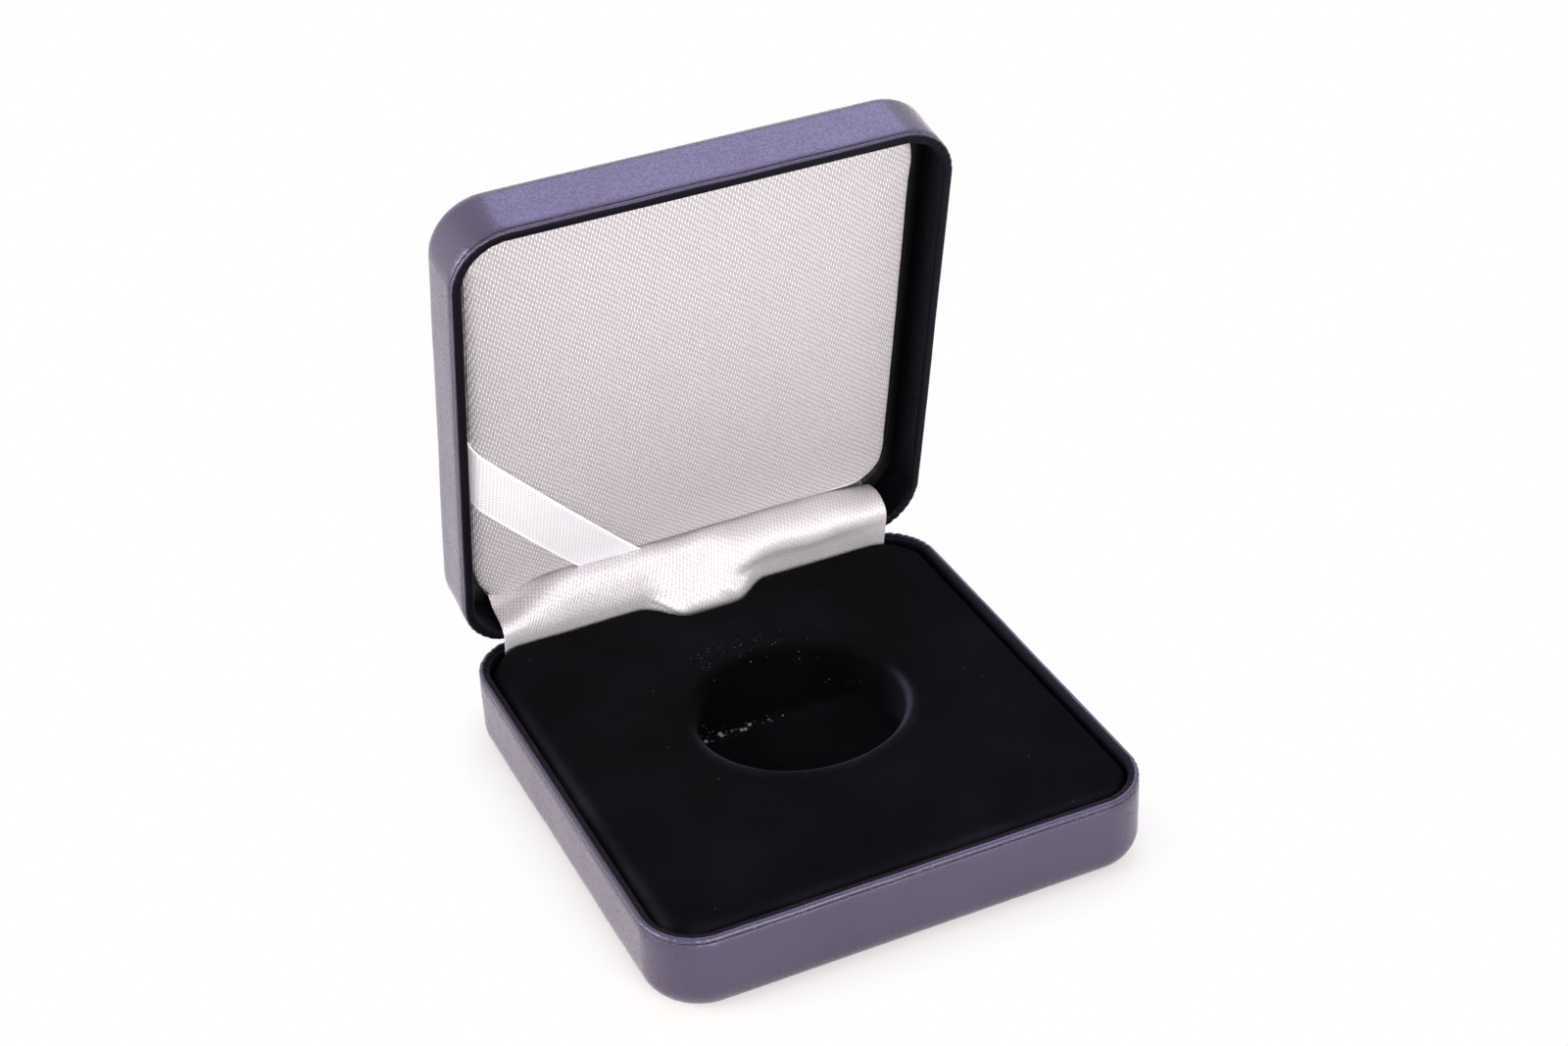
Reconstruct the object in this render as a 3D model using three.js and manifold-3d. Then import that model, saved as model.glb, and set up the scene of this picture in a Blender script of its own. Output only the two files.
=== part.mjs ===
import * as THREE from "three";
import { mergeVertices } from "three/addons/utils/BufferGeometryUtils.js";
import Module from "manifold-3d";

// Coin capsule box: two leatherette-wrapped steel trays on a snap hinge, a velvet insert with a
// round pocket, and a satin pad with a corner ribbon in the lid.
// Millimetres. X is the width, the front faces -Y, the hinge is at the rear, and the origin is
// at the centre of the base's underside. The lid is drawn closed and turned open by its group.

// Overall sizes
const boxWidth = 90;
const boxDepth = 92;
const cornerRadius = 10.2;
const baseHeight = 16;
const lidHeight = 13.5;
const closingGap = 0.4;
const baseEdgeRadius = 5;
const lidEdgeRadius = 3.5;
const openAngle = 78;

// Walls of both trays
const coverThickness = 0.8;
const steelThickness = 0.5;
const glueLine = 0.1;
const turnInThickness = 0.5;
const baseTurnInDepth = 8;
const lidTurnInMargin = 5;

// Hinge
const hingeInset = 0.8;
const hingeRise = 2.1;
const pinRadius = 0.5;
const pinClearance = 0.2;
const pinHeadRadius = 0.95;
const pinHeadHeight = 0.35;
const knuckleWall = 0.45;
const hingeEndMargin = 4.8;
const knuckleCount = 5;
const knuckleGap = 0.4;
const leafThickness = 0.4;
const baseLeafHeight = 7.8;
const leafTopMargin = 3.6;
const notchClearance = 0.4;
const notchEndClearance = 1;
const rivetRadius = 0.9;
const rivetHeadRadius = 1.5;
const rivetHeadHeight = 0.3;
const rivetClearance = 0.12;
const rivetEndMargin = 4;
const rivetPitch = 9.5;
const rivetTopMargin = 2.2;

// Spring band. Places on it are shares of its reach, forward of the pin and above it.
const springSideGap = 2;
const springThickness = 0.3;
const springReach = 10;
const springTailMargin = 1.4;
const springTailEnd = 3.6;
const springBowShares = [
  [0.2, 0.04], [0.2, 0.18], [0.13, 0.31], [0, 0.35], [-0.12, 0.3], [-0.225, 0.24],
];

// Spine satin. Places on it are shares of its reach, forward of the pin and above it.
const spineSideMargin = 7.1;
const spineThickness = 0.25;
const spineReach = 10;
const spineTuck = 4;
const spineChannel = 3.7;
const spineFold = 0.35;
const spineFoldPitch = 13;
const spineBlend = 14;
const spineCrowding = 0.2;
const spineLeftShares = [
  [-0.48, 0.56], [-0.36, 0.42], [-0.22, 0.32], [-0.02, 0.27], [0.18, 0.23], [0.29, 0.13],
  [0.3, 0], [0.26, -0.12], [0.22, -0.22],
];
const spineMiddleShares = [
  [-0.345, 0.54], [-0.15, 0.64], [-0.02, 0.74], [0.09, 0.68], [0.16, 0.5], [0.23, 0.3],
  [0.28, 0.1], [0.28, -0.09], [0.23, -0.22],
];
const spineRightShares = [
  [-0.43, 0.55], [-0.2, 0.59], [0.03, 0.6], [0.24, 0.57], [0.36, 0.46], [0.37, 0.31],
  [0.32, 0.12], [0.29, -0.06], [0.24, -0.2],
];

// Insert
const insertGap = 0.4;
const insertRearGap = 0.75;
const velvetThickness = 0.7;
const velvetSideThickness = 0.6;
const velvetRoll = 1.5;
const velvetDrop = 0.7;
const velvetCrown = 0.8;
const velvetSkirt = 11;
const boardThickness = 1.6;
const floorCardThickness = 0.8;
const floorCardMargin = 5;
const pocketRadius = 18.4;
const pocketDepth = 8.5;
const pocketX = 1.6;
const pocketY = 2.4;
const pocketRoll = 1.6;
const pocketFlapReach = 8.2;
const pocketFloorThickness = 1.5;
const notchDepth = 5.6;
const notchFloorHalf = 4.5;
const notchMouthHalf = 12.5;
const notchX = 0.8;

// Lid pad
const padSideMargin = 4.8;
const padFrontMargin = 4.6;
const padRearMargin = 6.4;
const padCornerRadius = 7;
const padEdgeDepth = 5.4;
const padCrown = 2.2;
const padRoll = 3;
const padTuck = 1.1;
const padBoardThickness = 1.3;
const padSatinThickness = 0.4;

// Corner ribbon: its middle line crosses the pad's rear left corner
const ribbonWidth = 8.8;
const ribbonThickness = 0.35;
const ribbonLift = 0.15;
const ribbonAlongLeft = 29.7;
const ribbonAcrossRear = 26.9;
const ribbonBackGap = 1;

// Smoothness of rounded forms
const cornerSteps = 5;
const edgeSteps = 4;
const rimSteps = 3;
const roundSteps = 16;
const rivetSteps = 10;
const leastRadius = 0.1;
const overrun = 1;

// Sizes that follow
const halfTurn = Math.PI / 2;
const openTurn = THREE.MathUtils.degToRad(openAngle);
const halfWidth = boxWidth / 2;
const halfDepth = boxDepth / 2;
const barrelLength = boxWidth - 2 * (cornerRadius + hingeEndMargin);
const spineHalfWidth = halfWidth - spineSideMargin;
const steelOuter = coverThickness + glueLine;
const steelInner = steelOuter + steelThickness;
const turnInOuter = steelInner + glueLine;
const wall = turnInOuter + turnInThickness;
const lidRim = baseHeight + closingGap;
const lidTop = lidRim + lidHeight;
const hingeY = halfDepth - hingeInset;
const hingeZ = lidRim + hingeRise;
const barrelRadius = pinRadius + pinClearance + knuckleWall;
const leafOuterY = halfDepth - turnInOuter;
const leafInnerY = leafOuterY - leafThickness;
const lidLeafHeight = lidHeight - hingeRise - leafTopMargin;
const padBack = lidHeight - steelInner - glueLine;
const ribbonTuck = padBack - padEdgeDepth - padRoll - ribbonBackGap;
const lidTurnInDepth = lidHeight - lidTurnInMargin;

const wasm = await Module();
wasm.setup();

// Closed mesh from points and triangles, turned so that its faces point out
function closedGeometry(points, triangles) {
  let volume = 0;
  for (let i = 0; i < triangles.length; i += 3) {
    const [a, b, c] = [points[triangles[i]], points[triangles[i + 1]], points[triangles[i + 2]]];
    volume += a.dot(b.clone().cross(c));
  }
  const facing = volume < 0 ? triangles.slice().reverse() : triangles;
  const geometry = new THREE.BufferGeometry();
  const positions = points.flatMap((point) => [point.x, point.y, point.z]);
  geometry.setAttribute("position", new THREE.Float32BufferAttribute(positions, 3));
  geometry.setIndex(facing);
  return geometry;
}

// Body through rings of equal count. Its ends are capped from a centre, or joined to each other.
function ringBody(rings, joined = false, centre = null) {
  const count = rings[0].length;
  const points = rings.flat();
  const triangles = [];
  const spans = joined ? rings.length : rings.length - 1;
  for (let ring = 0; ring < spans; ring += 1) {
    const start = ring * count;
    const nextStart = ((ring + 1) % rings.length) * count;
    for (let k = 0; k < count; k += 1) {
      const next = (k + 1) % count;
      triangles.push(start + k, start + next, nextStart + next);
      triangles.push(start + k, nextStart + next, nextStart + k);
    }
  }
  if (!joined) {
    const middle = centre ?? new THREE.Vector2();
    const lastStart = (rings.length - 1) * count;
    const first = points.push(new THREE.Vector3(middle.x, middle.y, rings[0][0].z)) - 1;
    const last = points.push(new THREE.Vector3(middle.x, middle.y, rings.at(-1)[0].z)) - 1;
    for (let k = 0; k < count; k += 1) {
      const next = (k + 1) % count;
      triangles.push(first, next, k);
      triangles.push(last, lastStart + k, lastStart + next);
    }
  }
  return closedGeometry(points, triangles);
}

// Sheet of even thickness about the surface that pointAt gives for shares of its two directions
function sheetBody(pointAt, rowCount, columnCount, thickness) {
  const rows = rowCount + 1;
  const columns = columnCount + 1;
  const step = 1 / (rowCount * columnCount);
  const middles = [];
  for (let r = 0; r < rows; r += 1) {
    for (let c = 0; c < columns; c += 1) {
      const [u, v] = [r / rowCount, c / columnCount];
      const [u0, u1] = [Math.max(u - step, 0), Math.min(u + step, 1)];
      const [v0, v1] = [Math.max(v - step, 0), Math.min(v + step, 1)];
      const along = pointAt(u1, v).sub(pointAt(u0, v));
      const across = pointAt(u, v1).sub(pointAt(u, v0));
      middles.push({ point: pointAt(u, v), normal: along.cross(across).normalize() });
    }
  }
  const points = [thickness / 2, -thickness / 2].flatMap((side) =>
    middles.map(({ point, normal }) => point.clone().addScaledVector(normal, side)));
  const far = middles.length;
  const triangles = [];
  const quad = (a, b, c, d) => triangles.push(a, b, c, a, c, d);
  for (let r = 0; r < rowCount; r += 1) {
    for (let c = 0; c < columnCount; c += 1) {
      const a = r * columns + c;
      const b = a + columns;
      quad(a, a + 1, b + 1, b);
      quad(far + a, far + b, far + b + 1, far + a + 1);
    }
    const left = r * columns;
    const right = left + columnCount;
    quad(left, left + columns, far + left + columns, far + left);
    quad(right, far + right, far + right + columns, right + columns);
  }
  for (let c = 0; c < columnCount; c += 1) {
    const end = rowCount * columns + c;
    quad(c, far + c, far + c + 1, c + 1);
    quad(end, end + 1, far + end + 1, far + end);
  }
  return closedGeometry(points, triangles);
}

// Boolean cuts and joins
function toSolid(geometry) {
  const plain = geometry.clone();
  plain.deleteAttribute("normal");
  plain.deleteAttribute("uv");
  const merged = mergeVertices(plain);
  const vertProperties = new Float32Array(merged.attributes.position.array);
  const triVerts = new Uint32Array(merged.index.array);
  return new wasm.Manifold(new wasm.Mesh({ numProp: 3, vertProperties, triVerts }));
}

function toGeometry(solid) {
  const { vertProperties, triVerts, numProp } = solid.getMesh();
  const positions = [];
  for (let i = 0; i < vertProperties.length; i += numProp) {
    positions.push(vertProperties[i], vertProperties[i + 1], vertProperties[i + 2]);
  }
  const geometry = new THREE.BufferGeometry();
  geometry.setAttribute("position", new THREE.Float32BufferAttribute(positions, 3));
  geometry.setIndex(Array.from(triVerts));
  return geometry;
}

const cut = (body, tools) => tools.reduce((solid, tool) => solid.subtract(toSolid(tool)), body);
const join = (parts) => parts.map(toSolid).reduce((whole, part) => whole.add(part));

// Box between two corners
function block(low, high) {
  const size = new THREE.Vector3().subVectors(high, low);
  const middle = new THREE.Vector3().addVectors(low, high).multiplyScalar(1 / 2);
  return new THREE.BoxGeometry(size.x, size.y, size.z).translate(middle.x, middle.y, middle.z);
}

// Cylinders along the width and along the depth
function rodAlongX(radius, x0, x1, y, z) {
  return new THREE.CylinderGeometry(radius, radius, x1 - x0, roundSteps)
    .rotateZ(halfTurn).translate((x0 + x1) / 2, y, z);
}

function rodAlongY(radius, y0, y1, x, z) {
  return new THREE.CylinderGeometry(radius, radius, y1 - y0, roundSteps)
    .translate(x, (y0 + y1) / 2, z);
}

// Rounded rectangle drawn in from given half sizes, as points of the plan
function roundedOutline(halfX, rearY, frontY, radius, inset) {
  const r = Math.max(radius - inset, leastRadius);
  const corners = [
    [halfX - inset - r, rearY - inset - r],
    [-halfX + inset + r, rearY - inset - r],
    [-halfX + inset + r, frontY + inset + r],
    [halfX - inset - r, frontY + inset + r],
  ];
  return corners.flatMap(([x, y], corner) => {
    const arc = [];
    for (let k = 0; k <= cornerSteps; k += 1) {
      const angle = (corner + k / cornerSteps) * halfTurn;
      arc.push(new THREE.Vector2(x + r * Math.cos(angle), y + r * Math.sin(angle)));
    }
    return arc;
  });
}

const trayOutline = (inset) =>
  roundedOutline(halfWidth, halfDepth, -halfDepth, cornerRadius, inset);

const atLevel = (outline, z) => outline.map((point) => new THREE.Vector3(point.x, point.y, z));

// Quarter arc as pairs of shares: the first falls from 1 to 0, the second grows from 0 to 1
function quarterShares(steps) {
  return Array.from({ length: steps + 1 }, (unused, k) => {
    const angle = (k / steps) * halfTurn;
    return [1 - Math.sin(angle), 1 - Math.cos(angle)];
  });
}

// Trays: each profile point is [inset from the outer face, distance from the outer floor]
function steelTray(height, edgeRadius, level) {
  const outerEdge = edgeRadius - steelOuter;
  const innerEdge = edgeRadius - steelInner;
  const top = height - steelOuter;
  const outer = quarterShares(edgeSteps).map(([across, up]) =>
    [steelOuter + outerEdge * across, steelOuter + outerEdge * up]);
  const inner = quarterShares(edgeSteps).reverse().map(([across, up]) =>
    [steelInner + innerEdge * across, steelInner + innerEdge * up]);
  const profile = [...outer, [steelOuter, top], [steelInner, top], ...inner];
  return ringBody(profile.map(([inset, up]) => atLevel(trayOutline(inset), level(up))));
}

function coverTray(height, edgeRadius, turnInDepth, level) {
  const innerEdge = edgeRadius - coverThickness;
  const underLip = height - coverThickness;
  const outer = quarterShares(edgeSteps).map(([across, up]) =>
    [edgeRadius * across, edgeRadius * up]);
  const outerLip = quarterShares(rimSteps).map(([across, up]) =>
    [coverThickness * up, height - coverThickness * across]);
  const innerLip = quarterShares(rimSteps).map(([across, up]) =>
    [wall - turnInThickness * across, height - turnInThickness * up]);
  const inner = quarterShares(edgeSteps).reverse().map(([across, up]) =>
    [coverThickness + innerEdge * across, coverThickness + innerEdge * up]);
  const turnIn = [
    [wall, height - turnInDepth],
    [turnInOuter, height - turnInDepth],
    [turnInOuter, underLip],
    [coverThickness, underLip],
  ];
  const profile = [...outer, ...outerLip, ...innerLip, ...turnIn, ...inner];
  return ringBody(profile.map(([inset, up]) => atLevel(trayOutline(inset), level(up))));
}

const baseLevel = (up) => up;
const lidLevel = (up) => lidTop - up;

// Hinge leaves: one plate with a strip up to each of its own knuckles.
// The side is -1 for the lower leaf and 1 for the upper one, which mirrors it about the pin.
const leafHalfWidth = barrelLength / 2;
const knuckleLength = (barrelLength - (knuckleCount - 1) * knuckleGap) / knuckleCount;
const plateStart = barrelRadius + notchClearance;
const rivetOuterX = leafHalfWidth - rivetEndMargin;
const rivetInnerX = rivetOuterX - rivetPitch;
const rivetPlaces = [-rivetOuterX, -rivetInnerX, rivetInnerX, rivetOuterX];
const leafHeight = (side) => (side > 0 ? lidLeafHeight : baseLeafHeight);
const rivetDrop = (side) => leafHeight(side) - rivetTopMargin;
const springTail = (side) => leafHeight(side) - springTailMargin;

function leafBlock(side, x0, x1, near, far) {
  const [low, high] = [hingeZ + side * near, hingeZ + side * far].sort((a, b) => a - b);
  return block(new THREE.Vector3(x0, leafInnerY, low), new THREE.Vector3(x1, leafOuterY, high));
}

function hingeLeaf(side, firstKnuckle) {
  const parts = [leafBlock(side, -leafHalfWidth, leafHalfWidth, plateStart, leafHeight(side))];
  for (let k = firstKnuckle; k < knuckleCount; k += 2) {
    const x0 = -leafHalfWidth + k * (knuckleLength + knuckleGap);
    const x1 = x0 + knuckleLength;
    parts.push(leafBlock(side, x0, x1, 0, plateStart + glueLine));
    parts.push(rodAlongX(barrelRadius, x0, x1, hingeY, hingeZ));
  }
  const reach = leafHalfWidth + overrun;
  const bore = rodAlongX(pinRadius + pinClearance, -reach, reach, hingeY, hingeZ);
  return toGeometry(cut(join(parts), [bore, ...rivetHoles(side)]));
}

function rivetHoles(side) {
  return rivetPlaces.map((x) => rodAlongY(rivetRadius + rivetClearance, leafInnerY - overrun,
    halfDepth - steelOuter + glueLine / 2, x, hingeZ + side * rivetDrop(side)));
}

function rivet(side, x) {
  const headStart = leafInnerY - glueLine / 2;
  const head = headStart - rivetHeadHeight;
  const end = halfDepth - steelOuter;
  const profile = [
    [0, head],
    [rivetRadius, head],
    [rivetHeadRadius, head + rivetHeadHeight / 2],
    [rivetHeadRadius, headStart],
    [rivetRadius, headStart],
    [rivetRadius, end],
    [0, end],
  ];
  return new THREE.LatheGeometry(profile.map(([r, y]) => new THREE.Vector2(r, y)), rivetSteps)
    .translate(x, 0, hingeZ + side * rivetDrop(side));
}

function hingePin() {
  const end = leafHalfWidth + glueLine;
  const head = end + pinHeadHeight;
  const half = [
    [pinRadius, end],
    [pinHeadRadius, end],
    [pinHeadRadius, end + pinHeadHeight / 2],
    [pinRadius, head],
    [0, head],
  ];
  const mirrored = half.map(([r, x]) => [r, -x]).reverse();
  const profile = [...mirrored, ...half].map(([r, x]) => new THREE.Vector2(r, x));
  return new THREE.LatheGeometry(profile, roundSteps)
    .rotateZ(halfTurn).translate(0, hingeY, hingeZ);
}

// Spaces cut for the hinge
const slotHalfWidth = leafHalfWidth + notchEndClearance;
const windowY = leafOuterY + glueLine / 2;
const windowReach = (side) => leafHeight(side) + glueLine;

function baseWindow() {
  return block(new THREE.Vector3(-slotHalfWidth, halfDepth - wall - overrun, hingeZ - windowReach(-1)),
    new THREE.Vector3(slotHalfWidth, windowY, baseHeight + overrun));
}

function lidWindow() {
  return block(new THREE.Vector3(-slotHalfWidth, halfDepth - wall - overrun, lidRim - overrun),
    new THREE.Vector3(slotHalfWidth, windowY, hingeZ + windowReach(1)));
}

function lidNotch() {
  return block(new THREE.Vector3(-slotHalfWidth, halfDepth - wall - overrun, lidRim - overrun),
    new THREE.Vector3(slotHalfWidth, halfDepth + overrun, hingeZ + plateStart));
}

// A place in the closed lid, carried round the pin to the open rest pose
function openedPoint(fromRear, aboveRim, x = 0) {
  const y = halfDepth - fromRear - hingeY;
  const z = lidRim + aboveRim - hingeZ;
  return new THREE.Vector3(x, hingeY + y * Math.cos(openTurn) + z * Math.sin(openTurn),
    hingeZ - y * Math.sin(openTurn) + z * Math.cos(openTurn));
}

// Places given as shares of a reach, forward of the pin and above it
const aboutPin = (shares, reach, x) => shares.map(([forward, up]) =>
  new THREE.Vector3(x, hingeY - forward * reach, hingeZ + up * reach));

const smoothPath = (points) => new THREE.CatmullRomCurve3(points, false, "centripetal");

// Spring band: flat tails on both leaves, and a bow in front of the pin between them
function springBand() {
  const tailY = leafInnerY - glueLine - springThickness / 2;
  const fromRear = halfDepth - tailY;
  const overRim = hingeZ - lidRim;
  const curve = smoothPath([
    new THREE.Vector3(0, tailY, hingeZ - springTail(-1)),
    new THREE.Vector3(0, tailY, hingeZ - springTailEnd),
    ...aboutPin(springBowShares, springReach, 0),
    openedPoint(fromRear, overRim + springTailEnd),
    openedPoint(fromRear, overRim + springTail(1)),
  ]);
  const springHalfWidth = rivetInnerX - rivetHeadRadius - springSideGap;
  const pointAt = (u, v) => curve.getPointAt(u).setX(springHalfWidth * (2 * v - 1));
  return sheetBody(pointAt, 26, 2, springThickness);
}

// Spine satin: from under the pad's rear edge, over the spring band, down behind the insert.
// Towards the sides it follows the rounded corners of the trays.
const insertRearY = halfDepth - wall - insertRearGap;
const insertTop = baseHeight - velvetDrop;

function cornerDrop(x) {
  const inner = cornerRadius - wall;
  const past = Math.max(Math.abs(x) - (halfWidth - cornerRadius), 0);
  return inner - Math.sqrt(inner * inner - past * past);
}

function spinePath(x) {
  const toLeft = THREE.MathUtils.smoothstep(-x, spineHalfWidth - spineBlend, spineHalfWidth);
  const toRight = THREE.MathUtils.smoothstep(x, spineHalfWidth - spineBlend, spineHalfWidth);
  const wave = spineFold * Math.sin((2 * Math.PI * x) / spineFoldPitch);
  const calm = (1 - toLeft) * (1 - toRight);
  const shares = spineMiddleShares.map(([forward, up], k) => [
    forward + (spineLeftShares[k][0] - forward) * toLeft + (spineRightShares[k][0] - forward) * toRight,
    up + (spineLeftShares[k][1] - up) * toLeft + (spineRightShares[k][1] - up) * toRight,
  ]);
  const drop = cornerDrop(x);
  const tuckY = insertRearY + glueLine + spineThickness / 2 - drop;
  const visible = aboutPin(shares, spineReach, x);
  visible.forEach((point, k) => {
    const share = Math.sin((Math.PI * (k + 1)) / (visible.length + 1));
    point.z += wave * calm * share;
    point.y -= drop * (1 - share);
  });
  return smoothPath([
    openedPoint(spineChannel + drop, lidHeight - wall - spineThickness, x),
    openedPoint(spineChannel + drop, padEdgeDepth + padRoll, x),
    ...visible,
    new THREE.Vector3(x, tuckY - spineThickness / 2, insertTop),
    new THREE.Vector3(x, tuckY, insertTop - 2 * spineThickness),
    new THREE.Vector3(x, tuckY, insertTop - spineTuck / 2),
    new THREE.Vector3(x, tuckY, insertTop - spineTuck),
  ]);
}

function spineSatin() {
  const paths = new Map();
  const pathAt = (v) => {
    const side = 2 * v - 1;
    const share = side + spineCrowding * side * (1 - side * side);
    if (!paths.has(v)) paths.set(v, spinePath(spineHalfWidth * share));
    return paths.get(v);
  };
  return sheetBody((u, v) => pathAt(v).getPointAt(u), 22, 22, spineThickness);
}

// Insert outline: a rounded rectangle with the finger notch in its rear edge
const insertHalf = halfWidth - wall - insertGap;
const insertFrontY = -(halfDepth - wall - insertGap);
const insertCorner = cornerRadius - wall - insertGap;
const notchSteps = 10;
const sideSteps = 7;

function betweenPoints(from, to, steps) {
  return Array.from({ length: steps - 1 }, (unused, k) =>
    new THREE.Vector2().lerpVectors(from, to, (k + 1) / steps));
}

function notchPoints(inset) {
  const rear = insertRearY - inset;
  const mouth = notchMouthHalf + inset / 2;
  const floor = notchFloorHalf + inset / 2;
  return Array.from({ length: notchSteps + 1 }, (unused, k) => {
    const across = mouth * (1 - (2 * k) / notchSteps);
    const drop = notchDepth * (1 - THREE.MathUtils.smoothstep(Math.abs(across), floor, mouth));
    return new THREE.Vector2(notchX + across, rear - drop);
  });
}

function insertOutline(inset) {
  const corners = roundedOutline(insertHalf, insertRearY, insertFrontY, insertCorner, inset);
  const corner = (k) => corners.slice(k * (cornerSteps + 1), (k + 1) * (cornerSteps + 1));
  const arcs = [corner(0), corner(1), corner(2), corner(3)];
  const side = (k) => betweenPoints(arcs[k].at(-1), arcs[(k + 1) % arcs.length][0], sideSteps);
  const notch = notchPoints(inset);
  const shoulder = (from, to) => betweenPoints(from, to, 2);
  const rear = [
    ...shoulder(arcs[0].at(-1), notch[0]),
    ...notch,
    ...shoulder(notch.at(-1), arcs[1][0]),
  ];
  return [...arcs[0], ...rear, ...arcs[1], ...side(1), ...arcs[2], ...side(2), ...arcs[3], ...side(3)];
}

// Pocket ring: one point for each point of the outline, in its direction from the pocket's centre.
// The velvet flap at the back makes a straight chord that reaches in further towards the floor.
const pocketCentre = new THREE.Vector2(pocketX, pocketY);
const pocketTop = insertTop + velvetCrown;
const pocketWallTop = pocketTop - pocketRoll;
const pocketFloor = pocketTop - pocketDepth;
const pocketDirections = insertOutline(0).map((point) => point.sub(pocketCentre).normalize());

function pocketRing(grow, z) {
  const down = THREE.MathUtils.clamp((pocketWallTop - z) / (pocketWallTop - pocketFloor), 0, 1);
  const limit = pocketRadius - pocketFlapReach * down + grow;
  return pocketDirections.map((direction) => {
    const x = direction.x * (pocketRadius + grow);
    const y = Math.min(direction.y * (pocketRadius + grow), limit);
    return new THREE.Vector3(pocketX + x, pocketY + y, z);
  });
}

// Ring part of the way from the pocket's edge to the insert's edge
function topRing(share) {
  const inner = pocketRing(pocketRoll, pocketTop);
  const outer = insertOutline(velvetRoll);
  const z = pocketTop - velvetCrown * share * share;
  return inner.map((point, k) => new THREE.Vector3(
    THREE.MathUtils.lerp(point.x, outer[k].x, share),
    THREE.MathUtils.lerp(point.y, outer[k].y, share), z));
}

const boardTop = insertTop - velvetThickness;
const boardBottom = boardTop - boardThickness;
const underVelvet = velvetSideThickness + glueLine;
const aroundVelvet = velvetSideThickness + 2 * glueLine;
const cardTop = steelInner + glueLine / 2 + floorCardThickness;
const topShares = [0.25, 0.5, 0.75];

function insertVelvet() {
  const skirtBottom = insertTop - velvetSkirt;
  const pocketEnd = pocketFloor + glueLine;
  const pocketArc = quarterShares(rimSteps).map(([across, up]) =>
    pocketRing(pocketRoll * up, pocketTop - pocketRoll * across));
  const outerArc = quarterShares(rimSteps).map(([across, up]) =>
    atLevel(insertOutline(velvetRoll * across), insertTop - velvetRoll * up));
  return ringBody([
    pocketRing(0, pocketEnd),
    pocketRing(0, (pocketEnd + pocketWallTop) / 2),
    ...pocketArc,
    ...topShares.map(topRing),
    ...outerArc,
    atLevel(insertOutline(0), skirtBottom),
    atLevel(insertOutline(velvetSideThickness), skirtBottom),
    atLevel(insertOutline(velvetSideThickness), boardTop + glueLine / 2),
    pocketRing(velvetSideThickness, boardTop + glueLine / 2),
    pocketRing(velvetSideThickness, (pocketEnd + pocketWallTop) / 2),
    pocketRing(velvetSideThickness, pocketEnd),
  ], true);
}

function insertBoard() {
  return ringBody([
    atLevel(insertOutline(underVelvet), boardBottom),
    atLevel(insertOutline(underVelvet), boardTop),
    pocketRing(aroundVelvet, boardTop),
    pocketRing(aroundVelvet, boardBottom),
  ], true);
}

function insertFoam() {
  const pocketBottom = pocketFloor - pocketFloorThickness - glueLine;
  return ringBody([
    atLevel(insertOutline(underVelvet), cardTop + glueLine),
    atLevel(insertOutline(underVelvet), boardBottom - glueLine / 2),
    pocketRing(aroundVelvet, boardBottom - glueLine / 2),
    pocketRing(aroundVelvet, (pocketFloor + pocketWallTop) / 2),
    pocketRing(aroundVelvet, pocketFloor),
    pocketRing(aroundVelvet, pocketBottom),
  ], false, pocketCentre);
}

function recessFloor() {
  return ringBody([
    pocketRing(-glueLine, pocketFloor - pocketFloorThickness),
    pocketRing(-glueLine, pocketFloor),
  ], false, pocketCentre);
}

function floorCard() {
  const bottom = steelInner + glueLine / 2;
  return ringBody([
    atLevel(trayOutline(floorCardMargin), bottom),
    atLevel(trayOutline(floorCardMargin), bottom + floorCardThickness),
  ]);
}

// Lid pad: depth is measured up from the closed lid's rim
const padHalf = halfWidth - padSideMargin;
const padRearY = halfDepth - padRearMargin;
const padFrontY = -(halfDepth - padFrontMargin);
const padMiddleY = (padRearY + padFrontY) / 2;
const padHalfLength = (padRearY - padFrontY) / 2;
const padInsetShares = [0.05, 0.2, 0.42, 0.7, 0.92];

function padCrownAt(x, y) {
  const across = 1 - (x / padHalf) ** 2;
  const along = 1 - ((y - padMiddleY) / padHalfLength) ** 2;
  return padCrown * Math.sqrt(Math.max(across * along, 0));
}

// Ring of the pad at an inset and at a drop from the flat top, before the crown lifts it
function padRing(inset, drop, skin, crowned) {
  const outline = roundedOutline(padHalf, padRearY, padFrontY, padCornerRadius, inset + skin);
  return outline.map((point) => {
    const crown = crowned ? padCrownAt(point.x, point.y) : 0;
    return new THREE.Vector3(point.x, point.y, lidRim + padEdgeDepth + skin + drop - crown);
  });
}

// Rings from the pad's back edge, up its drawn-in side, round the roll and over the crown
function padRings(skin, back) {
  const sideDrop = back - padEdgeDepth - skin;
  const side = [
    padRing(padTuck, sideDrop, skin, false),
    padRing(padTuck / 2, (sideDrop + padRoll) / 2, skin, false),
  ];
  const roll = quarterShares(edgeSteps).reverse().map(([across, up]) =>
    padRing(padRoll * across, padRoll * up, skin, true));
  const top = padInsetShares.map((share) =>
    padRing(padRoll + (padHalf - padRoll) * share, 0, skin, true));
  return [...side, ...roll, ...top];
}

function padSatin() {
  const back = padBack - padBoardThickness / 2;
  const outer = padRings(0, back);
  const inner = padRings(padSatinThickness, back);
  return ringBody([...inner.reverse(), ...outer], false, new THREE.Vector2(0, padMiddleY));
}

function padWadding() {
  const skin = padSatinThickness + glueLine;
  return ringBody(padRings(skin, padBack - padBoardThickness - glueLine), false,
    new THREE.Vector2(0, padMiddleY));
}

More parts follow.
